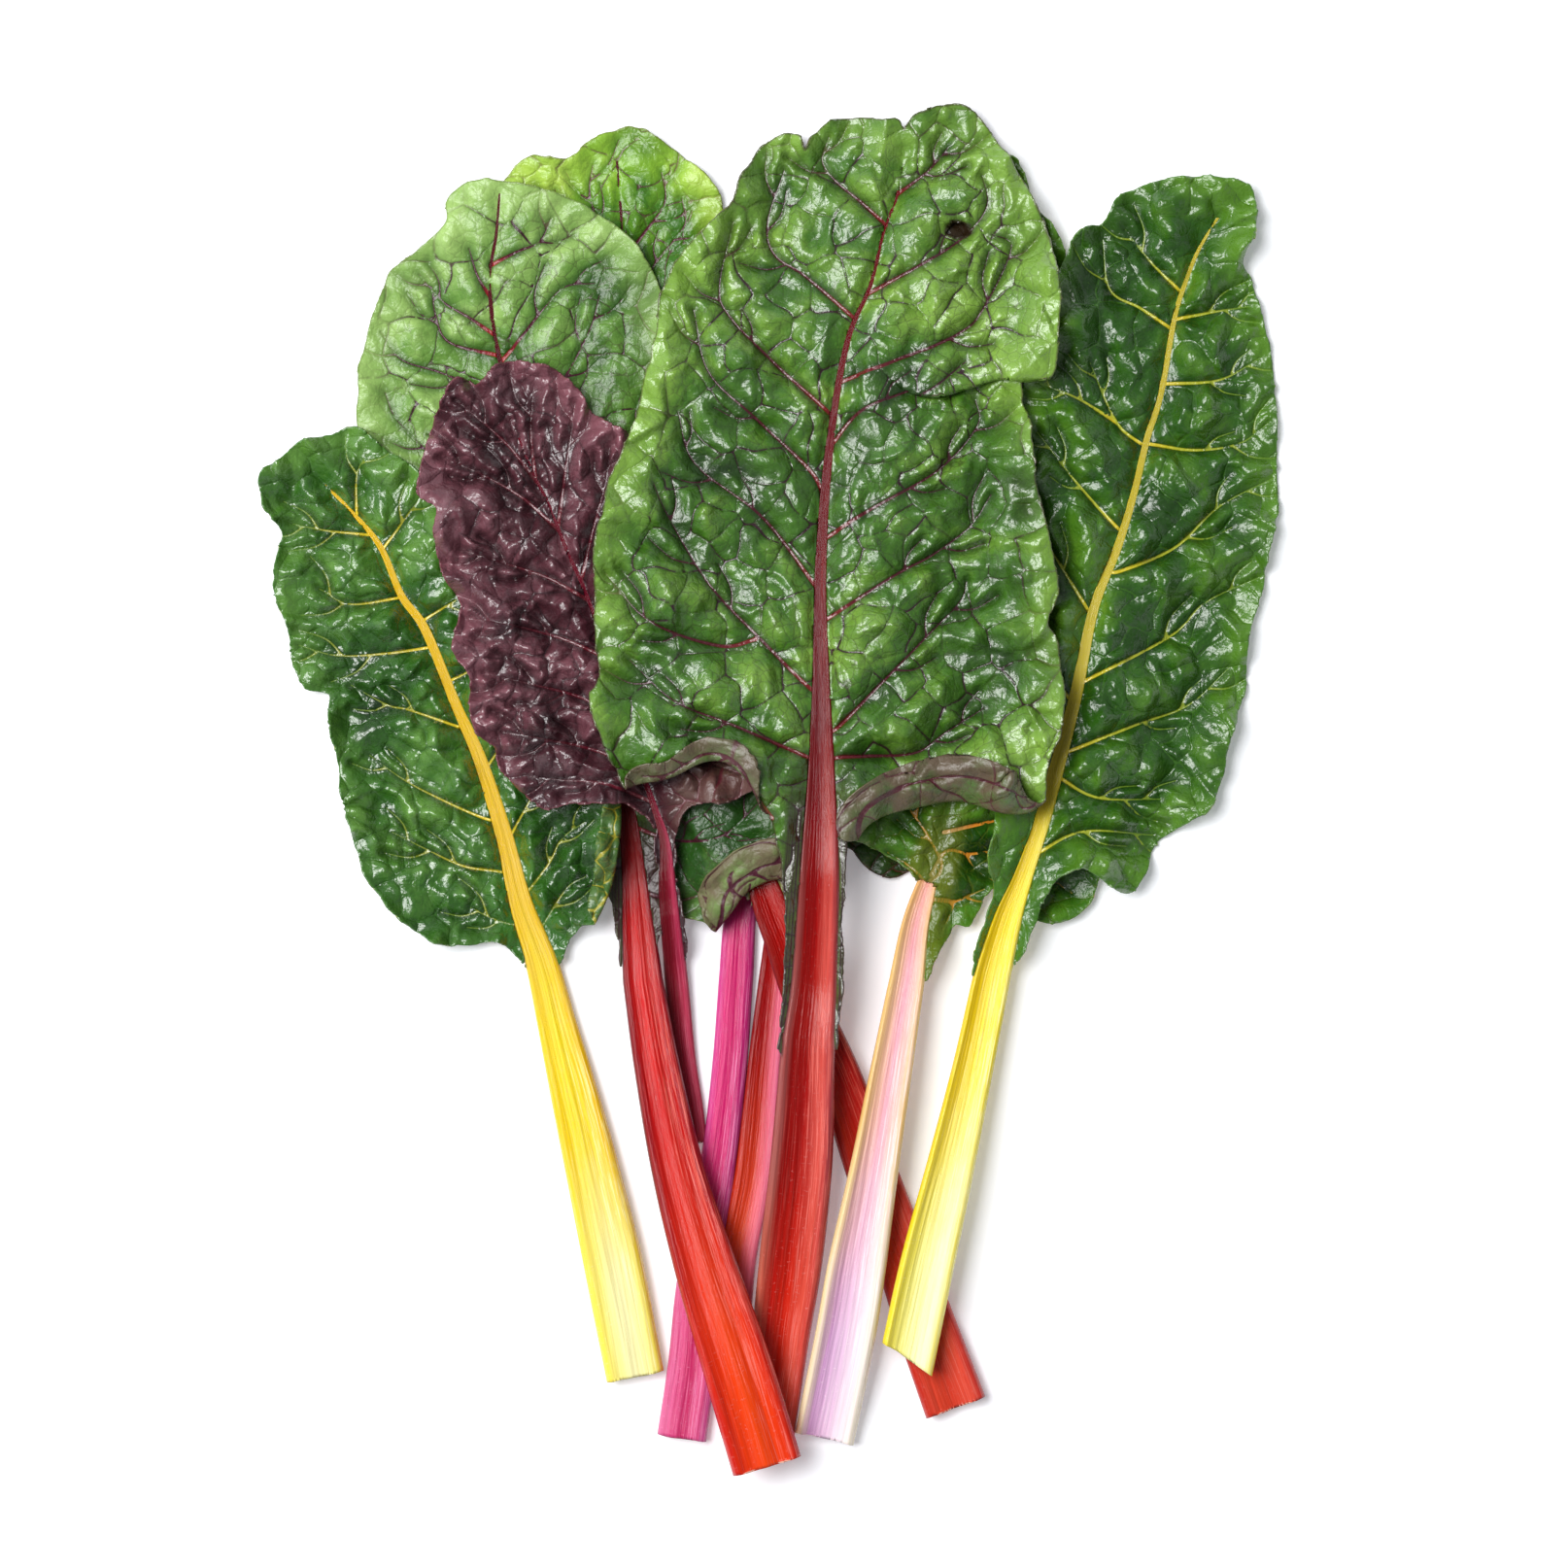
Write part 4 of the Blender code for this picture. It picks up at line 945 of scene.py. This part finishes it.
def build_blade(name, leaf, line, midrib, pile, seed):
    """The puckered blade of one leaf: a thin closed sheet with its veins as creases."""
    blade = Blade(name, leaf, line, midrib, pile, seed)
    flat, top = blade.sheet()
    facts = blade.read(flat)
    points = np.column_stack([flat, blade.height(flat, facts)])
    # The leaf under the hole also gets the distance from it, for its painted shadow.
    hole = blade.from_hole(flat) if name in (HOLED, BELOW_HOLE) else np.full(len(flat), FAR)
    if name == HOLED:
        points = pleat(points)
    for fold in leaf.get("folds", ()):
        points = roll_margin(blade, points, flat, facts, fold)
    lower = points - vertex_normals(points, top) * BLADE_THICKNESS
    offset = len(points)
    edges = np.concatenate([top[:, [0, 1]], top[:, [1, 2]], top[:, [2, 0]]]).astype(np.int64)
    rim = edges[~np.isin(edges[:, 0] * offset + edges[:, 1], edges[:, 1] * offset + edges[:, 0])]
    faces = np.concatenate([top, top[:, ::-1] + offset,
                            np.column_stack([rim[:, 1], rim[:, 0], rim[:, 0] + offset]),
                            np.column_stack([rim[:, 1], rim[:, 0] + offset, rim[:, 1] + offset])])
    both = np.vstack([points, lower])
    both[:, 2] = both[:, 2].clip(LEAST_HEIGHT)
    both[:, 2] = np.where(both[:, 2] > HIGH, HIGH + PRESSED * (both[:, 2] - HIGH), both[:, 2])
    attributes = {key: np.tile(facts[key], 2)
                  for key in ("vein", "web", "run", "strength", "margin", "tone", "foot", "beside")}
    attributes["hole"] = np.tile(hole, 2)
    attributes["under"] = np.repeat((0.0, 1.0), offset)
    if "turned" in leaf:
        attributes["under"][:offset] = blade.within("turned", flat)
    low, high = flat.min(axis=0), flat.max(axis=0)
    share = (flat - low) / (high - low)
    uv = np.column_stack([0.01 + 0.98 * share[:, 1], 0.01 + 0.47 * share[:, 0]])
    piece = make_mesh(name + "_blade_skin", both, faces, attributes, np.vstack([uv, uv + (0, 0.5)]),
                      MATERIALS[name + "_blade"])
    return piece, points


SWEEP_REACH = 16           # the midrib clears what lies this far along it
SWEEP_START = 30           # and leaves the height of the stalk over this length
RING_SMOOTHING = 6


def lay_leaf(name, leaf, pile, seed):
    """Build one leaf on the pile, stalk and blade."""
    bare = curve_through(leaf["stalk"])
    foot = bare[-1]
    midrib = curve_through([(foot[0], foot[1], foot[3])] + list(leaf["midrib"]))
    bare, midrib = spaced(bare, STALK_STEP), spaced(midrib, STALK_STEP)
    # The midrib clears the pile in one smooth sweep from the height of the stalk's last ring.
    rest = pile.sample(pile.widened(2), midrib[:, :2])
    rest = np.where(rest > 0, rest + LAYER_GAP, 0.0)
    swept = over_window(over_window(rest, SWEEP_REACH, np.max), SWEEP_REACH, np.mean)
    along = lengths_along(midrib)
    swept = foot[2] + (swept - foot[2]) * rise(along, 0, SWEEP_START)
    swept = np.maximum(swept, np.where(along > 12, rest, 0))
    line = np.vstack([bare, np.column_stack([midrib[:, :2], swept, midrib[:, 2]])[1:]])
    line[:, 2:] = over_window(line[:, 2:], RING_SMOOTHING, np.mean).clip(0)
    stalk, rings = build_stalk(name, leaf, line, seed)
    blade, points = build_blade(name, leaf, line, midrib, pile, seed)
    pile.add(points)
    pile.add(rings.reshape(-1, 3))
    for piece, part in ((stalk, "_stalk"), (blade, "_blade")):
        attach(piece, "root")
        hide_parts(name + part)


# ---- materials ----

class Graph:
    """Short names for the shader nodes of one material."""

    def __init__(self, name):
        self.material = bpy.data.materials.new(name)
        self.material.use_nodes = True
        self.tree = self.material.node_tree
        self.shader = self.tree.nodes["Principled BSDF"]

    def put(self, socket, value):
        """Link a socket to another one, or set it to a plain value."""
        if isinstance(value, bpy.types.NodeSocket):
            self.tree.links.new(value, socket)
        else:
            socket.default_value = value

    def make(self, kind, inputs, output=0, **settings):
        """A new node with its inputs linked or set, and the output that is wanted of it."""
        node = self.tree.nodes.new("ShaderNode" + kind)
        for key, value in settings.items():
            setattr(node, key, value)
        for key, value in inputs.items():
            self.put(node.inputs[key], value)
        return node.outputs[output]

    def finish(self, **inputs):
        """Set the shader's own inputs; a name's underscores stand for spaces."""
        for key, value in inputs.items():
            self.put(self.shader.inputs[key.replace("_", " ")], value)
        return self.material

    def place(self):
        return self.make("TexCoord", {}, "Object")

    def attribute(self, name):
        return self.make("Attribute", {}, "Fac", attribute_name=name)

    def math(self, operation, a, b=0.0):
        return self.make("Math", {0: a, 1: b, 2: 0.0}, operation=operation)

    def times(self, a, b):
        return self.math("MULTIPLY", a, b)

    def plus(self, a, b):
        return self.math("ADD", a, b)

    def between(self, value, low, high, to_low=0.0, to_high=1.0):
        """A smooth step, from to_low at low to to_high at high."""
        return self.make("MapRange", {"Value": value, "From Min": low, "From Max": high,
                                      "To Min": to_low, "To Max": to_high},
                         interpolation_type="SMOOTHSTEP")

    def fade(self, value, low, high):
        return self.between(value, low, high, 1.0, 0.0)

    def mix(self, share, a, b, blend="MIX"):
        return self.make("Mix", {0: share, 6: a, 7: b}, 2, data_type="RGBA", blend_type=blend)

    def ramp(self, value, stops):
        made = self.make("ValToRGB", {0: value})
        elements = made.node.color_ramp.elements
        while len(elements) < len(stops):
            elements.new(0.5)
        for element, (place, shade) in zip(elements, stops):
            element.position = place
            element.color = shade
        return made

    def noise(self, vector, scale, detail=3.0, rough=0.55):
        return self.make("TexNoise", {"Vector": vector, "Scale": scale, "Detail": detail,
                                      "Roughness": rough}, "Fac")

    def cells(self, vector, scale, feature="DISTANCE_TO_EDGE"):
        return self.make("TexVoronoi", {"Vector": vector, "Scale": scale}, "Distance", feature=feature)

    def along_ribs(self, across, along, per_width, per_length):
        """Places for a pattern that is drawn out along a stalk."""
        return self.make("CombineXYZ", {0: self.times(across, per_width), 1: self.times(along, per_length)})

    def bump(self, height, strength, distance, **normal):
        return self.make("Bump", {"Height": height, "Strength": strength, "Distance": distance, **normal})


def colour(red, green, blue, strength=1.0):
    """A colour given as it looks on a screen, 0 to 255."""
    def linear(value):
        value /= 255
        return strength * (value / 12.92 if value <= 0.04045 else ((value + 0.055) / 1.055) ** 2.4)
    return (linear(red), linear(green), linear(blue), 1.0)


# dark, mid and light of the upper face; side veins; web; margin line; underside; how strongly
# the web is coloured; roughness; how much it shines.
BLADES = {
    "magenta": ((20, 44, 8), (44, 86, 18), (86, 124, 36), (96, 12, 44), (50, 14, 26), (90, 36, 40),
                (92, 112, 64), 0.8, 0.34, 0.6),
    "inner_red": ((14, 36, 6), (30, 66, 12), (60, 98, 26), (96, 10, 24), (46, 12, 20), (70, 34, 34),
                  (84, 104, 58), 0.8, 0.34, 0.5),
    "crossing_red": ((52, 104, 16), (122, 170, 42), (182, 212, 88), (76, 18, 36), (70, 34, 36),
                     (110, 120, 50), (140, 162, 88), 0.9, 0.36, 0.55),
    "pink_white": ((14, 40, 4), (38, 86, 10), (80, 130, 26), (222, 136, 40), (90, 104, 22),
                   (90, 130, 46), (112, 140, 64), 0.5, 0.32, 0.5),
    "yellow_right": ((14, 46, 4), (40, 86, 12), (88, 134, 32), (168, 172, 44), (60, 110, 20),
                     (70, 116, 36), (120, 150, 80), 0.5, 0.3, 0.8),
    "red_left": ((32, 70, 18), (96, 138, 56), (154, 188, 104), (68, 10, 32), (54, 18, 32),
                 (100, 120, 56), (112, 124, 76), 1.0, 0.36, 0.5),
    "yellow_left": ((10, 36, 6), (44, 92, 22), (96, 142, 56), (170, 160, 38), (48, 100, 26),
                    (60, 110, 34), (70, 104, 42), 0.5, 0.28, 0.9),
    "purple": ((16, 4, 8), (70, 29, 38), (134, 82, 92), (84, 6, 26), (30, 5, 12), (120, 58, 70),
               (86, 60, 46), 0.6, 0.36, 1.0),
    "centre_red": ((18, 44, 8), (62, 108, 24), (126, 166, 62), (70, 8, 24), (42, 8, 24),
                   (56, 24, 26), (84, 96, 52), 1.0, 0.33, 0.88),
}
NET_SHAKE = 0.0022         # how far the finest nets are bent
BRUISED = colour(92, 50, 54)        # the flush of an underside
HOLE_BROWN_AND_SHADOW = colour(44, 30, 16)          # round the insect's hole: a brown rim, and painted shadow on the leaf seen through it
STRONG_WEB = 0.6           # undersides of leaves with a web as strong as this are flushed


def blade_material(name):
    g = Graph(name + "_blade")
    dark, mid, light, vein, web, margin, under = (colour(*shade) for shade in BLADES[name][:7])
    show, rough, shine = BLADES[name][7:]
    place = g.place()
    broad = g.noise(place, 24.0, 3.0)
    fine = g.noise(place, 240.0, 4.0, 0.62)
    amount = g.plus(g.times(broad, 0.85), g.times(fine, 0.35))
    amount = g.plus(amount, g.times(g.attribute("tone"), 0.3))
    face = g.ramp(amount, ((0.42, dark), (0.7, mid), (1.0, light)))
    # Small pale and dark flecks.
    fleck = g.between(g.noise(place, 900.0, 2.0), 0.66, 0.76)
    face = g.mix(g.times(fleck, 0.3), face, light)
    blotch = g.between(g.noise(place, 70.0, 5.0, 0.7), 0.58, 0.75)
    face = g.mix(g.times(blotch, 0.4), face, dark)
    # The finest nets, then the web of small veins and the side veins.
    shake = g.make("TexNoise", {"Scale": 160.0, "Vector": place}, "Color")
    shake = g.make("VectorMath", {0: shake, "Scale": NET_SHAKE}, operation="SCALE")
    bent = g.make("VectorMath", {0: place, 1: shake}, operation="ADD")
    mesh = g.cells(bent, 270.0)
    finest = g.cells(bent, 620.0)
    face = g.mix(g.times(g.fade(finest, 0.0, 0.07), 0.16), face, dark)
    line = g.times(g.fade(mesh, 0.0, 0.05), g.between(broad, 0.4, 0.6, 0.15, 0.55))
    face = g.mix(g.times(line, 0.4 + 0.5 * show), face, web)
    strength = g.between(g.attribute("strength"), 0.05, 0.6, 0.25, 1.0)
    web_at = g.attribute("web")
    thread = g.times(g.fade(web_at, 0.1, 0.36), strength)
    vein_at = g.attribute("vein")
    # Painted shade in the grooves beside the side veins and the web.
    groove_shade = g.math("MAXIMUM", g.between(vein_at, 0.0, 2.4, 0.65, 0.0),
                  g.times(g.between(web_at, 0.0, 1.3, 0.36, 0.0), strength))
    face = g.mix(groove_shade, face, dark)
    face = g.mix(g.times(thread, show), face, web)
    run = g.attribute("run")
    root = g.mix(0.45, colour(*STALKS[name][1][1]), vein)
    strand = g.mix(g.between(run, 0.0, 0.3), root, vein)
    strand = g.mix(g.between(run, 0.3, 0.9, 0.0, 0.8), strand, web)
    face = g.mix(g.fade(vein_at, -0.1, 0.12), face, strand)
    # The margin: a lighter band and a thin coloured line.
    margin_at = g.attribute("margin")
    band = g.times(g.fade(margin_at, 0.0, 13.0), g.between(broad, 0.36, 0.6, 0.1, 0.8))
    toward_tip = g.make("SeparateXYZ", {0: place}, "Y")
    band = g.times(band, g.between(toward_tip, -0.03, 0.09, 0.2, 1.0))
    face = g.mix(band, face, light)
    face = g.mix(g.between(margin_at, 0.1, 0.7, 0.65, 0.0), face, margin)
    # Beside the stalk the blade runs out in dark, stalk-coloured strips.
    foot = g.attribute("foot")
    stripes = g.noise(g.make("CombineXYZ", {0: g.times(g.attribute("beside"), 2.2)}), 1.0, 2.0)
    face = g.mix(g.times(foot, g.between(stripes, 0.42, 0.6, 0.72, 1.0)), face, web)
    # Brown round the insect's hole; on the leaf below it, painted shadow seen through the hole.
    hole_brown_and_shadow = g.between(g.attribute("hole"), 0.3, 1.1, 0.97, 0.0)
    face = g.mix(hole_brown_and_shadow, face, HOLE_BROWN_AND_SHADOW)
    # The underside is paler, tinted by the veins, and its veins stand out.
    tint = g.between(g.noise(place, 90.0, 4.0), 0.4, 0.58)
    flush = under if show < STRONG_WEB else g.mix(0.62, under, BRUISED)
    back = g.mix(g.between(fine, 0.35, 0.65, 0.0, 0.6), under, mid)
    back = g.mix(g.times(tint, 0.95 * show), back, flush)
    back = g.mix(g.times(g.fade(mesh, 0.0, 0.09), 0.5), back, g.mix(0.45, under, vein))
    back = g.mix(g.between(margin_at, 0.0, 7.0, 0.7 * show, 0.0), back, flush)
    back = g.mix(g.times(g.fade(web_at, 0.1, 0.4), 0.85), back, vein)
    back = g.mix(g.fade(vein_at, 0.0, 0.3), back, vein)
    gloss = g.plus(g.times(g.noise(place, 150.0, 3.0), 0.16), rough - 0.19)
    gloss = g.plus(g.times(g.noise(place, 1100.0, 2.0), 0.22), gloss)
    gloss = g.plus(gloss, g.times(g.attribute("under"), 0.16))
    relief = g.plus(g.times(finest, 1.0), g.times(fine, 0.4))
    relief = g.plus(relief, g.times(g.between(mesh, 0.0, 0.16), 0.7))
    groove = g.math("MINIMUM", g.between(vein_at, -0.3, 0.5), g.between(web_at, 0.0, 0.6, 0.3, 1.0))
    normal = g.bump(g.noise(bent, 360.0, 3.0, 0.6), 0.36, 0.0012)
    normal = g.bump(relief, 0.2, 0.0005, Normal=normal)
    normal = g.bump(groove, 0.5, 0.0005, Normal=normal)
    return g.finish(Base_Color=g.mix(g.attribute("under"), face, back), Roughness=gloss,
                    Specular_IOR_Level=shine, Normal=normal)


# Colours across a stalk, left to right: at the cut end, then where the blade begins. Lighter parts of a
# row, such as the salmon right side and pale left rim of the centre red stalk, are partly painted sheen.
# The midrib's colour and the colour of the pale streaks, which are partly painted sheen and glints, follow.
STALKS = {
    "magenta": (((206, 96, 140), (206, 70, 124), (190, 40, 96), (206, 80, 130), (180, 80, 140)),
                ((200, 56, 134), (206, 28, 110), (200, 24, 100), (186, 26, 104), (150, 40, 104)),
                (160, 24, 80), (238, 152, 196)),
    "inner_red": (((196, 48, 14), (208, 56, 14), (210, 66, 30), (208, 92, 108), (196, 96, 122)),
                  ((126, 8, 10), (150, 8, 8), (166, 12, 12), (204, 80, 112), (206, 100, 140)),
                  (116, 12, 22), (226, 104, 120)),
    "crossing_red": (((176, 34, 22), (206, 62, 38), (196, 52, 30), (208, 70, 50), (180, 40, 36)),
                     ((120, 14, 12), (152, 12, 8), (168, 16, 10), (162, 20, 14), (130, 20, 20)),
                     (72, 10, 24), (212, 96, 80)),
    "pink_white": (((250, 236, 184), (214, 156, 206), (232, 196, 224), (248, 234, 238), (251, 240, 210)),
                   ((244, 200, 116), (240, 190, 150), (236, 160, 176), (242, 196, 176), (244, 202, 120)),
                   (222, 150, 70), (250, 232, 236)),
    "yellow_right": (((244, 222, 40), (228, 216, 92), (242, 236, 150), (251, 247, 190), (246, 228, 84)),
                     ((236, 204, 16), (222, 186, 10), (244, 214, 36), (248, 226, 60), (220, 200, 40)),
                     (190, 172, 50), (252, 246, 190)),
    "red_left": (((184, 16, 8), (214, 46, 4), (222, 64, 8), (216, 52, 8), (182, 22, 12)),
                 ((110, 12, 26), (180, 14, 16), (198, 28, 26), (174, 12, 14), (132, 12, 28)),
                 (76, 8, 22), (230, 112, 98)),
    "yellow_left": (((250, 226, 60), (252, 241, 130), (253, 248, 184), (252, 243, 150), (250, 228, 56)),
                    ((242, 202, 20), (250, 212, 14), (252, 220, 34), (248, 204, 6), (240, 188, 10)),
                    (214, 172, 24), (254, 248, 184)),
    "purple": (((90, 4, 18), (122, 8, 24), (144, 16, 42), (180, 54, 82), (160, 40, 66)),
               ((80, 4, 16), (100, 5, 18), (114, 8, 28), (160, 38, 68), (128, 32, 56)),
               (92, 8, 28), (200, 90, 114)),
    "centre_red": (((186, 100, 78), (176, 16, 4), (190, 28, 6), (208, 74, 56), (190, 62, 58)),
                   ((150, 84, 80), (134, 6, 4), (146, 8, 6), (204, 78, 68), (150, 50, 60)),
                   (98, 6, 18), (228, 112, 100)),
}

# Pale stalks take this share of their colour, so that they keep their tint in strong light.
PALE_STALKS = {"yellow_left": 0.86, "yellow_right": 0.95, "pink_white": 0.89}
RAMP_PLACES = (0.03, 0.22, 0.5, 0.78, 0.97)
STALK_SHINE = 0.27


def stalk_material(name, length):
    g = Graph(name + "_stalk")
    base, top, tip, streak_and_sheen = STALKS[name]
    streak_and_sheen = colour(*streak_and_sheen)
    place = g.place()
    across, along = g.attribute("across"), g.attribute("along")
    share = g.math("DIVIDE", along, length)
    share = g.plus(share, g.times(g.math("SUBTRACT", g.noise(place, 30.0), 0.5), 0.1))
    strand = g.noise(g.along_ribs(across, along, 5.0, 0.02), 1.0, 4.0)
    spot = g.plus(g.times(across, 0.5), g.times(strand, 0.24))
    spot = g.plus(spot, 0.38)
    strength = PALE_STALKS.get(name, 1.0)
    low, high = (g.ramp(spot, [(at, colour(*shade, strength)) for at, shade in zip(RAMP_PLACES, row)])
                 for row in (base, top))
    body = g.mix(g.between(share, 0.06, 0.3), low, high)
    body = g.mix(g.between(share, 0.38, 0.6), body, colour(*tip))
    # Long streaks and hairlines follow the ribs. Their pale strokes are partly painted sheen, strongest on
    # the right side, which faces the light, and weaker on the midrib.
    long_noise = g.noise(g.along_ribs(across, along, 11.0, 0.03), 1.0, 5.0, 0.62)
    sheen_side = g.times(g.between(across, -0.2, 0.3, 0.18, 1.0), g.between(share, 0.28, 0.42, 1.0, 0.3))
    body = g.mix(g.times(g.between(long_noise, 0.53, 0.7, 0.0, 0.6), sheen_side), body, streak_and_sheen)
    dark = g.mix(0.18 if name in PALE_STALKS else 0.6, body, body, "MULTIPLY")
    body = g.mix(g.between(long_noise, 0.28, 0.46, 0.5, 0.0), body, dark)
    hairs = g.noise(g.along_ribs(across, along, 25.0, 0.05), 1.0, 3.0)
    body = g.mix(g.times(g.between(hairs, 0.54, 0.62, 0.0, 0.65), sheen_side), body, streak_and_sheen)
    body = g.mix(g.between(hairs, 0.32, 0.44, 0.5, 0.0), body, dark)
    # Short cross marks in the wide part: bumps, coloured as painted glints.
    cross = g.between(g.noise(g.along_ribs(across, along, 5.0, 1.5), 1.0, 3.0), 0.6, 0.72, 0.0, 0.3)
    body = g.mix(g.times(cross, g.between(share, 0.05, 0.3, 1.0, 0.2)), body, streak_and_sheen)
    # The cut face is pale and wet, with the ends of the fibres showing.
    fibres = g.between(g.cells(place, 620.0, "F1"), 0.18, 0.36, 0.55, 0.0)
    flesh = g.mix(0.55, colour(*base[2]), colour(240, 232, 206))
    flesh = g.mix(fibres, flesh, colour(*base[2]))
    body = g.mix(g.between(g.attribute("cut"), 0.5, 0.9), body, flesh)
    gloss = g.plus(g.times(long_noise, 0.3), g.times(hairs, 0.3))
    gloss = g.times(g.math("SUBTRACT", gloss, 0.07), g.between(share, 0.24, 0.4, 1.0, 0.4))
    relief = g.plus(hairs, g.times(g.noise(place, 800.0), 0.25))
    relief = g.plus(relief, g.times(cross, 1.0))
    return g.finish(Base_Color=body, Roughness=gloss, Specular_IOR_Level=STALK_SHINE,
                    Normal=g.bump(relief, 0.6, 0.0003))


# ---- stage ----

FLOOR_SIZE = 6.0
SOFTBOX_SIZE = 1.4
SOFTBOX_POWER = 68.0
SOFTBOX_PLACE = (-1.0, 0.42, 1.9)
SOFTBOX_AIM = (0, 0.03, 0)
FLOOR_DROP = -0.0003       # just clear of the lowest leaf
FLOOR_COLOURS = ((0.89, 0.9, 0.93, 1), (0.92, 0.93, 0.955, 1))
FLOOR_GLOW = 0.2           # the lit table adds this much of its own
FLOOR_GLOW_COLOUR = (0.94, 0.96, 1, 1)
WORLD_GREYS = ((0.02, 0.95), (0.4, 0.2))    # height above the horizon, and brightness
CAMERA_HEIGHT = 1.6
FRAME_WIDTH = 0.4586       # width of the floor in the camera's view
FRAME_CENTRE = (0.0043, 0.0014)


def floor_material():
    g = Graph("studio_floor")
    shade = g.noise(g.place(), 3.0)
    return g.finish(Base_Color=g.mix(shade, *FLOOR_COLOURS), Roughness=0.9, Specular_IOR_Level=0.1,
                    Emission_Color=FLOOR_GLOW_COLOUR, Emission_Strength=FLOOR_GLOW)


def set_stage():
    scene = bpy.context.scene
    mesh = bpy.data.meshes.new("studio_floor")
    s = FLOOR_SIZE / 2
    mesh.from_pydata([(-s, -s, 0), (s, -s, 0), (s, s, 0), (-s, s, 0)], [], [(0, 1, 2, 3)])
    mesh.materials.append(floor_material())
    floor = add_object("studio_floor", mesh)
    floor.location.z = FLOOR_DROP

    light = bpy.data.lights.new("softbox", "AREA")
    light.shape = "SQUARE"
    light.size = SOFTBOX_SIZE
    light.energy = SOFTBOX_POWER
    lamp = add_object("softbox", light)
    lamp.location = SOFTBOX_PLACE
    aim = Vector(SOFTBOX_AIM) - Vector(SOFTBOX_PLACE)
    lamp.rotation_euler = aim.to_track_quat("-Z", "Y").to_euler()

    # The room: bright near the horizon, dim overhead, so that wet slopes stay dark.
    world = bpy.data.worlds.new("studio")
    world.use_nodes = True
    tree = world.node_tree
    direction, split, ramp = (tree.nodes.new("ShaderNode" + kind)
                              for kind in ("TexCoord", "SeparateXYZ", "ValToRGB"))
    background = tree.nodes["Background"]
    tree.links.new(direction.outputs["Generated"], split.inputs[0])
    tree.links.new(split.outputs["Z"], ramp.inputs[0])
    tree.links.new(ramp.outputs[0], background.inputs["Color"])
    for element, (place, grey) in zip(ramp.color_ramp.elements, WORLD_GREYS):
        element.position = place
        element.color = (0.96 * grey, 0.98 * grey, 1.04 * grey, 1)
    background.inputs["Strength"].default_value = 1.0
    scene.world = world
    scene.view_settings.view_transform = "Standard"

    data = bpy.data.cameras.new("camera")
    data.sensor_width = 36.0
    data.lens = data.sensor_width * CAMERA_HEIGHT / FRAME_WIDTH
    camera = add_object("camera", data)
    camera.location = (*FRAME_CENTRE, CAMERA_HEIGHT)
    scene.camera = camera


def middle_of_outlines():
    """The middle of the box round all leaves, which lies on the frame's own middle."""
    points = []
    for leaf in LEAVES.values():
        points += [curve_through(leaf["left"]), curve_through(leaf["right"])]
        ends = np.array(leaf["stalk"][:2], dtype=float)
        sideways = side_directions(ends)[0] * ends[0, 3] / 2
        points.append(np.array([ends[0, :2] - sideways, ends[0, :2] + sideways]))
    points = np.vstack(points)
    return (points.min(axis=0) + points.max(axis=0)) / 2


SHIFT = np.array([*-middle_of_outlines(), 0.0])
FIRST_SEED, SEED_STEP = 11, 17
MATERIALS = {}
for leaf_name, leaf in LEAVES.items():
    length = sum(lengths_along(curve_through(leaf[part]))[-1] for part in ("stalk", "midrib"))
    MATERIALS[leaf_name + "_stalk"] = stalk_material(leaf_name, length)
    MATERIALS[leaf_name + "_blade"] = blade_material(leaf_name)
pile = Pile()
for number, (leaf_name, leaf) in enumerate(LEAVES.items()):
    lay_leaf(leaf_name, leaf, pile, FIRST_SEED + SEED_STEP * number)
set_stage()
